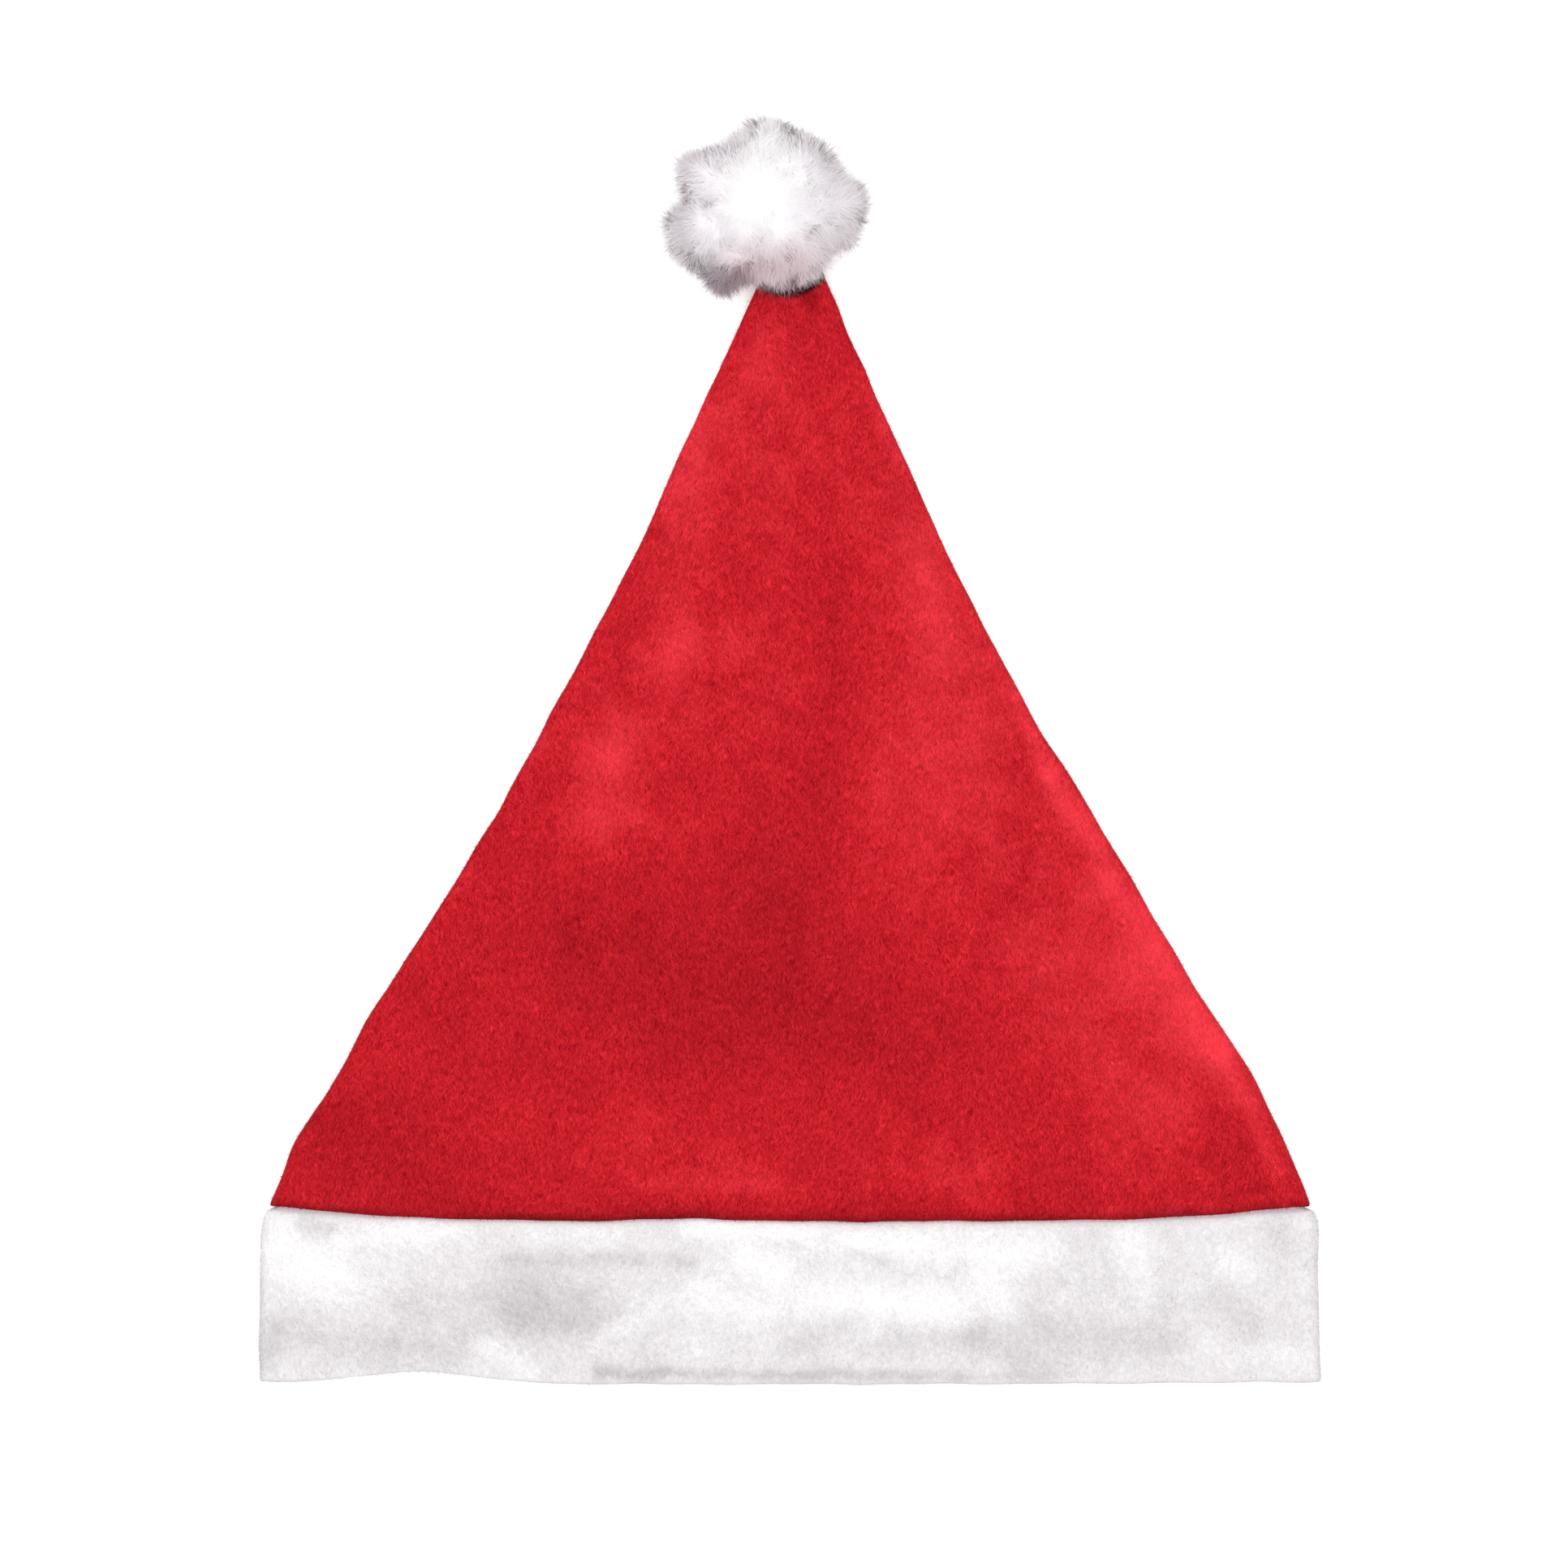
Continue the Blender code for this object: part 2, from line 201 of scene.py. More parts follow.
pompomRadius = pompomShape["size"] / 2
pompomCentre = np.array([
    float(halfWidth(tipY, "right") - halfWidth(tipY, "left")) / 2 + pompomShape["aside"],
    tipY + pompomShape["beyond"],
    pompomRadius * pompomShape["squash"] * pompomShape["settle"],
])


# Small unevenness that the cloth has all over, in millimetres
reliefShape = {
    "swells": [(0.014, 0.00028), (0.006, 0.00012)],  # size, height
    "sideWobble": (0.010, 0.00055),
    "hemWobble": (0.012, 0.00035),
    "sideTrim": 0.0005,  # the felt is pressed a little narrower at its folds
    "hemSag": (0.0011, -0.026, 0.016),  # how far the hem hangs over the band, and where it hangs less
    "rimSag": 0.0004,
}


def wobble(points, size, seed):  # smooth noise at each point
    spots = np.asarray(points, float) / size + seed * 17.3
    return np.array([noise.noise(Vector(spot)) for spot in spots.reshape(-1, 3)]).reshape(spots.shape[:-1])


def hemSag(x):
    most, where, spread = reliefShape["hemSag"]
    return most * (1 - 0.75 * np.exp(-(((x - where) / spread) ** 2)))


def sections(rows, insets, sideInsets, steps):
    topSteps, sideSteps, bottomSteps = steps
    rows = np.asarray(rows, float)[:, None]
    insets = np.asarray(insets, float)[:, None]
    sideInsets = np.asarray(sideInsets, float)[:, None]
    radius, base = sideRadius(rows), groundGap(rows)
    ends = {}
    for side, sign in (("left", -1), ("right", 1)):
        sideY = wander(sign, rows)
        trim = reliefShape["sideTrim"] * smooth((rows - hemY) / 0.010)
        ends[side] = (
            sign * (halfWidth(sideY, side) - radius - trim),
            sign * (radius - sideInsets * sideSlant(sideY, side)),
            sideY,
        )
    leftX, leftReach, leftY = ends["left"]
    rightX, rightReach, rightY = ends["right"]

    def place(x, y, z):
        return np.stack(np.broadcast_arrays(x, y, z), -1)

    share = np.linspace(0, 1, topSteps + 1)[None]
    across = 2 * share - 1
    x = leftX + (rightX - leftX) * share
    top = place(x, wander(across, rows), base + 2 * radius + topHeight(x, rows, across) - insets)
    lift = sum(high * wobble(top * (1, 1, 0), size, 1) for size, high in reliefShape["swells"])
    top[..., 2] += lift * (1 - np.abs(across) ** 8)
    angle = math.pi * (0.5 - np.linspace(0, 1, sideSteps + 1)[None, 1:-1])
    right = place(
        rightX + rightReach * np.cos(angle), rightY, base + radius + (radius - insets) * np.sin(angle)
    )
    share = np.linspace(0, 1, bottomSteps + 1)[None]
    under = place(rightX + (leftX - rightX) * share, wander(1 - 2 * share, rows), base + insets)
    left = place(
        leftX + leftReach * np.cos(angle), leftY, base + radius - (radius - insets) * np.sin(angle)
    )
    grid = np.concatenate([top, right, under, left], 1)
    # The folded sides and the hem are never quite straight
    width = np.abs(grid[..., 0]) / np.maximum(halfWidth(grid[..., 1], "left"), 0.004)
    size, high = reliefShape["sideWobble"]
    sideNoise = wobble(grid * (0, 1, 0) + np.sign(grid[..., :1]), size, 2)
    grid[..., 0] += high * np.clip(width, 0, 1) ** 6 * sideNoise
    size, high = reliefShape["hemWobble"]
    nearHem = np.exp(-(((grid[..., 1] - hemY) / 0.012) ** 2))
    nearRim = np.exp(-(((grid[..., 1] - rimY) / 0.006) ** 2))
    grid[..., 1] += high * (nearHem + nearRim) * wobble(grid * (1, 0, 0), size, 3)
    grid[..., 1] -= nearHem * hemSag(grid[..., 0]) + reliefShape["rimSag"] * nearRim
    return grid


def loftMesh(name, grid, closeEnd=False):  # rows of rings to a mesh, faces outwards
    rowCount, ringCount = grid.shape[:2]
    index = np.arange(rowCount * ringCount).reshape(rowCount, ringCount)
    turned = np.roll(index, -1, axis=1)
    faces = np.stack([index[:-1], turned[:-1], turned[1:], index[1:]], -1).reshape(-1, 4).tolist()
    if closeEnd:
        faces.append(index[-1].tolist())
    mesh = bpy.data.meshes.new(name)
    mesh.from_pydata(grid.reshape(-1, 3).tolist(), [], faces)
    bm = bmesh.new()
    bm.from_mesh(mesh)
    bmesh.ops.recalc_face_normals(bm, faces=bm.faces)
    bm.to_mesh(mesh)
    bm.free()
    return mesh


def newPiece(name, mesh, material=None):
    mesh.name = name
    piece = bpy.data.objects.new(name, mesh)
    bpy.context.scene.collection.objects.link(piece)
    if material:
        mesh.materials.clear()
        mesh.materials.append(material)
    mesh.shade_smooth()
    return piece


def bakedCopy(piece):  # the evaluated mesh, plain
    graph = bpy.context.evaluated_depsgraph_get()
    return bpy.data.meshes.new_from_object(
        piece.evaluated_get(graph), preserve_all_data_layers=True, depsgraph=graph)


def setAttribute(mesh, name, values):
    values = np.asarray(values, np.float32)
    kind, field = ("FLOAT_VECTOR", "vector") if values.ndim == 2 else ("FLOAT", "value")
    mesh.attributes.new(name, kind, "POINT").data.foreach_set(field, values.ravel())


def pointsOf(mesh):
    found = np.empty(len(mesh.vertices) * 3, np.float32)
    mesh.vertices.foreach_get("co", found)
    return found.reshape(-1, 3).astype(float)


def normalsOf(mesh):
    found = np.empty(len(mesh.vertices) * 3, np.float32)
    mesh.vertex_normals.foreach_get("vector", found)
    return found.reshape(-1, 3).astype(float)


# Nodes and colours
def addNode(tree, kind, *values, **settings):  # values fill inputs in order, or a dictionary by name
    node = tree.nodes.new(kind)
    for name, value in settings.items():
        setattr(node, name, value)
    places = values[0] if values and isinstance(values[0], dict) else dict(enumerate(values))
    for place, value in places.items():
        if isinstance(value, bpy.types.Node):
            value = next(socket for socket in value.outputs if socket.enabled)
        if isinstance(value, bpy.types.NodeSocket):
            tree.links.new(value, node.inputs[place])
        else:
            node.inputs[place].default_value = value
    return node


def toolsFor(tree):  # short calls: a node, a calculation, a calculation with vectors
    def calculator(kind):
        return lambda operation, *values, **more: addNode(tree, kind, *values, operation=operation, **more)

    return functools.partial(addNode, tree), calculator("ShaderNodeMath"), calculator("ShaderNodeVectorMath")


def linear(hexColour):
    values = [int(hexColour[i:i + 2], 16) / 255 for i in (1, 3, 5)]
    return (*[v / 12.92 if v <= 0.04045 else ((v + 0.055) / 1.055) ** 2.4 for v in values], 1.0)


def startMaterial(name):
    material = bpy.data.materials.new(name)
    material.use_nodes = True
    tree = material.node_tree
    tree.nodes.clear()
    shader = addNode(tree, "ShaderNodeBsdfPrincipled")
    addNode(tree, "ShaderNodeOutputMaterial", {"Surface": shader})
    return material, tree, shader


# Brushed polyester felt: a matt mat of fine fibres, combed one way, so it shows short streaks,
# soft blotches where the nap lies over, and a faint sheen at glancing angles. Each colour is a middle tone
# with the lighter and darker tones that painted light and shade bring it to, and a tucked tone: painted
# shade, or on the fur a painted rosy reflection of the red felt.
feltLooks = {
    "redFelt": {
        "name": "brushedRedPolyesterFelt", "deep": "#8E0A14", "middle": "#B01520", "light": "#D82F3B",
        "tucked": "#1C0305", "contrast": 0.95, "blotch": 0.30, "sheen": 0.04, "sheenTint": "#FF5A66",
        "specular": 0.10, "streak": 0.00022, "long": 4.0, "tone": 0.0, "bump": 0.5,
    },
    "redNap": {
        "name": "redPolyesterNap", "deep": "#A3101A", "middle": "#C6202C", "light": "#EC434F",
        "tucked": "#1C0305", "contrast": 1.15, "blotch": 0.26, "sheen": 0.03, "sheenTint": "#FF6A74",
        "specular": 0.03, "streak": 0.00022, "long": 3.0, "tone": 0.6, "bump": 0.0,
    },
    "whiteFelt": {
        "name": "brushedWhitePolyesterFelt", "deep": "#B9B5B7", "middle": "#D3D0D2", "light": "#ECEAEB",
        "tucked": "#8C868A", "contrast": 0.20, "blotch": 0.25, "sheen": 0.05, "sheenTint": "#FFFFFF",
        "specular": 0.15, "streak": 0.00022, "long": 4.0, "tone": 0.0, "bump": 0.5,
    },
    "whiteNap": {
        "name": "whitePolyesterNap", "deep": "#C4C0C2", "middle": "#E2DFE1", "light": "#F8F7F8",
        "tucked": "#9C969A", "contrast": 0.26, "blotch": 0.25, "sheen": 0.05, "sheenTint": "#FFFFFF",
        "specular": 0.15, "streak": 0.00026, "long": 3.0, "tone": 0.6, "bump": 0.0,
    },
    "whiteFur": {
        "name": "whiteFakeFur", "deep": "#A59EA4", "middle": "#EDE8EB", "light": "#FDFCFD",
        "tucked": "#B8848D", "contrast": 0.14, "blotch": 0.12, "sheen": 0.10, "sheenTint": "#FFFFFF",
        "specular": 0.15, "streak": 0.00050, "long": 1.0, "tone": 0.6, "bump": 0.0,
    },
}


def fibreMaterial(look):
    material, tree, shader = startMaterial(look["name"])
    add, maths, vectors = toolsFor(tree)
    mixer = "ShaderNodeMix"
    spot = add("ShaderNodeTexCoord").outputs["Object"]
    brush, tucked, tone = [
        add("ShaderNodeAttribute", attribute_name=name).outputs["Fac"] for name in ("brush", "tucked", "tone")
    ]
    blotch = add("ShaderNodeTexNoise", {"Vector": spot, "Scale": 170.0, "Detail": 3.0})
    patch = maths("MULTIPLY_ADD", blotch, 2.6 * look["blotch"], -1.3 * look["blotch"])
    # Painted light and shade from the attribute, with random patches, move the colour to the light or the
    # deep tone
    broad = maths("ADD", brush, patch)
    lighter = maths("MULTIPLY", broad, 1.0, use_clamp=True)
    darker = maths("MULTIPLY", broad, -1.0, use_clamp=True)
    colour = add(mixer, {0: lighter, 6: linear(look["middle"]), 7: linear(look["light"])}, data_type="RGBA")
    colour = add(mixer, {0: darker, 6: colour, 7: linear(look["deep"])}, data_type="RGBA")
    # Streaks run along Y, a little bent
    bend = add("ShaderNodeTexNoise", {"Vector": spot, "Scale": 260.0, "Detail": 1.0}).outputs["Color"]
    bent = vectors("MULTIPLY_ADD", bend, (0.004, 0.002, 0.0), spot)
    squeezed = vectors("MULTIPLY", bent, (1.0, 1.0 / look["long"], 1.0))
    streaks = add("ShaderNodeTexNoise", {
        "Vector": squeezed, "Scale": 0.5 / look["streak"], "Detail": 3.0, "Roughness": 0.6})
    streak = add("ShaderNodeMapRange", {"Value": streaks, "From Min": 0.33, "From Max": 0.67})
    fine = add(mixer, {0: look["tone"], 2: streak, 3: tone}, data_type="FLOAT")
    if look["bump"]:
        bump = add("ShaderNodeBump", {
            "Height": streaks, "Strength": look["bump"], "Distance": look["streak"]})
        tree.links.new(bump.outputs[0], shader.inputs["Normal"])
    # Fibres differ less where the painted light and patches are lighter, as the nap lies smooth in a sheen
    lying = maths("MULTIPLY", brush, 0.6, use_clamp=True)
    ruffled = maths("MULTIPLY_ADD", lying, -look["contrast"], look["contrast"])
    middled = maths("SUBTRACT", fine, 0.5)
    value = maths("MULTIPLY_ADD", middled, ruffled, 1.0)
    paler = maths("MULTIPLY_ADD", value, -0.035, 1.035)  # darker fibres are a purer red
    varied = add("ShaderNodeHueSaturation", {"Color": colour, "Value": value, "Saturation": paler})
    # Painted shade where the tucked attribute is set, and on the fur a painted rosy reflection
    colour = add(mixer, {0: tucked, 6: varied, 7: linear(look["tucked"])}, data_type="RGBA")
    tree.links.new(colour.outputs[2], shader.inputs["Base Color"])
    shader.inputs["Roughness"].default_value = 0.9
    shader.inputs["Specular IOR Level"].default_value = look["specular"]
    shader.inputs["Sheen Weight"].default_value = look["sheen"]
    shader.inputs["Sheen Roughness"].default_value = 0.4
    shader.inputs["Sheen Tint"].default_value = linear(look["sheenTint"])
    return material


# Fibres: one tree that stands tapered strands on a skin, combed along its "flow" attribute
def strandShape(segments):  # x is across, z runs from root to point
    points, faces = [], []
    for step in range(segments):
        points += [(-0.5, 0, step / segments), (0.5, 0, step / segments)]
    points.append((0, 0, 1))
    for step in range(segments - 1):
        low = 2 * step
        faces.append((low, low + 1, low + 3, low + 2))
    faces.append((2 * segments - 2, 2 * segments - 1, 2 * segments))
    mesh = bpy.data.meshes.new("strandShape")
    mesh.from_pydata(points, [], faces)
    return newPiece("strandShape", mesh)


strandInputs = [
    ("Skin", "NodeSocketGeometry", None),
    ("Strand", "NodeSocketObject", None),
    ("Density", "NodeSocketFloat", 100.0),  # strands in a square metre
    ("Length", "NodeSocketFloat", 0.003),
    ("Length Spread", "NodeSocketFloat", 0.3),
    ("Width", "NodeSocketFloat", 0.0002),
    ("Lift", "NodeSocketFloat", 0.2),  # how far a strand stands up from its flow
    ("Jitter", "NodeSocketFloat", 0.3),
    ("Arch", "NodeSocketFloat", 0.2),
    ("Curl", "NodeSocketFloat", 0.0),  # how far its middle bends to a side
    ("Clump Density", "NodeSocketFloat", 1000.0),
    ("Clump Share", "NodeSocketFloat", 0.0),
    ("Turned", "NodeSocketFloat", 0.0),  # 0 lies flat on the skin, 1 is turned any way
    ("Ruffle", "NodeSocketFloat", 0.3),  # how much strands differ in the light that they catch
    ("Glow", "NodeSocketFloat", 0.0),  # how far light from above reaches round a thick pile
    ("Ground", "NodeSocketFloat", 0.0001),
    ("Seed", "NodeSocketInt", 0),
    ("Finish", "NodeSocketMaterial", None),
]


def strandTree():
    tree = bpy.data.node_groups.new("combedStrands", "GeometryNodeTree")
    for name, kind, value in strandInputs:
        socket = tree.interface.new_socket(name=name, in_out="INPUT", socket_type=kind)
        if value is not None:
            socket.default_value = value
    tree.interface.new_socket(name="Strands", in_out="OUTPUT", socket_type="NodeSocketGeometry")
    add, maths, vectors = toolsFor(tree)
    random = "FunctionNodeRandomValue"
    keep, number, vector = "GeometryNodeStoreNamedAttribute", "FLOAT", "FLOAT_VECTOR"
    given = add("NodeGroupInput").outputs
    where = add("GeometryNodeInputPosition")
    kinds = {
        "napShare": number, "reach": number, "cell": number, "along": number, "across": number,
        "outward": vector, "flow": vector, "toPoint": vector, "clumpPoint": vector, "root": vector,
        "sideways": vector, "bow": vector, "facing": vector,
    }
    read = {
        name: add("GeometryNodeInputNamedAttribute", {"Name": name}, data_type=kind)
        for name, kind in kinds.items()
    }
    seeds = [maths("ADD", given["Seed"], float(place)) for place in range(8)]
    anyWay = [
        add(random, {0: (-1, -1, -1), 1: (1, 1, 1), "Seed": seed}, data_type=vector) for seed in seeds[:4]
    ]
    anyShare = [add(random, {2: 0.0, 3: 1.0, "Seed": seed}, data_type=number) for seed in seeds[4:]]

    def scaled(value, size):
        return vectors("SCALE", {0: value, "Scale": size})

    def scatter(density):  # roots, each with the vector to its point
        wanted = maths("MULTIPLY", density, read["napShare"])
        spread = add("GeometryNodeDistributePointsOnFaces", {
            "Mesh": given["Skin"], "Density": wanted, "Seed": given["Seed"]}, distribute_method="RANDOM")
        points = add(keep, {
            "Geometry": spread.outputs["Points"], "Name": "outward", "Value": spread.outputs["Normal"],
        }, data_type=vector)
        shaken = scaled(anyWay[0], given["Jitter"])
        raised = scaled(read["outward"], given["Lift"])
        combed = vectors("ADD", raised, read["flow"])
        heading = vectors("NORMALIZE", vectors("ADD", combed, shaken))
        longer = maths("MULTIPLY_ADD", anyShare[0], 2.0, -1.0)
        length = maths("MULTIPLY_ADD", longer, given["Length Spread"], 1.0)
        length = maths("MULTIPLY", length, given["Length"])
        length = maths("MULTIPLY", length, read["reach"])
        reachOut = scaled(heading, length)
        return add(keep, {"Geometry": points, "Name": "toPoint", "Value": reachOut}, data_type=vector)

    # Clumps pull the points of nearby strands together
    clumps = scatter(given["Clump Density"])
    tip = vectors("ADD", where, read["toPoint"])
    clumps = add(keep, {"Geometry": clumps, "Name": "clumpPoint", "Value": tip}, data_type=vector)
    strands = scatter(given["Density"])
    nearest = add("GeometryNodeSampleNearest", {"Geometry": clumps}, domain="POINT")
    pulled = add("GeometryNodeSampleIndex", {
        "Geometry": clumps, "Value": read["clumpPoint"], "Index": nearest}, data_type=vector, domain="POINT")
    toClump = vectors("SUBTRACT", pulled, where)
    share = maths("MULTIPLY", anyShare[1], given["Clump Share"])
    change = vectors("SUBTRACT", toClump, read["toPoint"])
    joined = vectors("MULTIPLY_ADD", {0: change, 1: share, 2: read["toPoint"]})
    flatSide = vectors("CROSS_PRODUCT", read["toPoint"], read["outward"])
    flatSide = vectors("NORMALIZE", flatSide)
    turned = scaled(anyWay[1], given["Turned"])
    sideways = vectors("NORMALIZE", vectors("ADD", flatSide, turned))
    ruffled = scaled(anyWay[2], given["Ruffle"])
    glow = add("ShaderNodeCombineXYZ", {"Z": given["Glow"]})
    facing = vectors("ADD", vectors("ADD", read["outward"], glow), ruffled)
    facing = vectors("NORMALIZE", facing)
    # The middle of a strand bows outwards and curls to a side
    size = vectors("LENGTH", read["toPoint"])
    arch = scaled(read["outward"], given["Arch"])
    curl = scaled(anyWay[3], given["Curl"])
    bow = scaled(vectors("ADD", arch, curl), size)
    for name, kind, value in (
        ("toPoint", vector, joined), ("root", vector, where), ("sideways", vector, sideways),
        ("facing", vector, facing), ("bow", vector, bow), ("tone", number, anyShare[2]),
        ("cell", number, add("GeometryNodeInputIndex")),
    ):
        strands = add(keep, {"Geometry": strands, "Name": name, "Value": value}, data_type=kind)
    total = add("GeometryNodeAttributeDomainSize", {"Geometry": strands}, component="POINTCLOUD")
    cells = maths("CEIL", maths("SQRT", total))

    shape = add("GeometryNodeObjectInfo", {"Object": given["Strand"]}).outputs["Geometry"]
    placed = add("GeometryNodeInstanceOnPoints", {"Points": strands, "Instance": shape})
    real = add("GeometryNodeRealizeInstances", {"Geometry": placed})
    # Each vertex still holds its place on the strand: x across, z along
    own = add("ShaderNodeSeparateXYZ", vectors("SUBTRACT", where, read["root"])).outputs
    for name, value in (("across", own["X"]), ("along", own["Z"])):
        real = add(keep, {"Geometry": real, "Name": name, "Value": value}, data_type=number)
    left = maths("SUBTRACT", 1.0, read["along"])
    rounded = maths("MULTIPLY", read["along"], left)
    taper = maths("MULTIPLY_ADD", read["along"], -0.55, 1.0)
    breadth = maths("MULTIPLY", read["across"], given["Width"])
    breadth = maths("MULTIPLY", breadth, taper)
    spot = read["root"]
    for name, share in (("toPoint", read["along"]), ("bow", rounded), ("sideways", breadth)):
        spot = vectors("MULTIPLY_ADD", {0: read[name], 1: share, 2: spot})
    axes = add("ShaderNodeSeparateXYZ", spot).outputs
    above = maths("MAXIMUM", axes["Z"], given["Ground"])
    spot = add("ShaderNodeCombineXYZ", axes["X"], axes["Y"], above)
    real = add("GeometryNodeSetPosition", {"Geometry": real, "Position": spot})
    # Each strand has a cell of its own on the OFBake map
    column = maths("MODULO", read["cell"], cells)
    row = maths("FLOOR", maths("DIVIDE", read["cell"], cells))
    u = maths("MULTIPLY_ADD", read["across"], 0.8, maths("ADD", column, 0.5))
    v = maths("MULTIPLY_ADD", read["along"], 0.8, maths("ADD", row, 0.1))
    u, v = [maths("DIVIDE", value, cells) for value in (u, v)]
    real = add(keep, {
        "Geometry": real, "Name": "OFBake", "Value": add("ShaderNodeCombineXYZ", u, v),
    }, data_type="FLOAT2", domain="CORNER")
    # Light falls on a strand as on the pile that it is part of
    real = add("GeometryNodeSetMeshNormal", {
        "Mesh": real, "Custom Normal": read["facing"]}, mode="FREE", domain="POINT")
    for name in kinds:
        real = add("GeometryNodeRemoveAttribute", {"Geometry": real, "Name": name})
    real = add("GeometryNodeSetMaterial", {"Geometry": real, "Material": given["Finish"]})
    add("NodeGroupOutput", real)
    return tree


combedStrands = strandTree()


def growStrands(name, skin, settings, material, segments=1):
    holder = newPiece(name + "Holder", skin.copy())
    shape = strandShape(segments)
    modifier = holder.modifiers.new("strands", "NODES")
    modifier.node_group = combedStrands
    wanted = {**settings, "Strand": shape, "Finish": material}
    for item in combedStrands.interface.items_tree:
        if item.in_out == "INPUT" and item.name in wanted:
            modifier[item.identifier] = wanted[item.name]
    mesh = bakedCopy(holder)
    for spare in (holder, shape):
        bpy.data.objects.remove(spare, do_unlink=True)
    piece = newPiece(name, mesh)
    print(name, sum(len(face.vertices) - 2 for face in mesh.polygons), "triangles")
    return piece


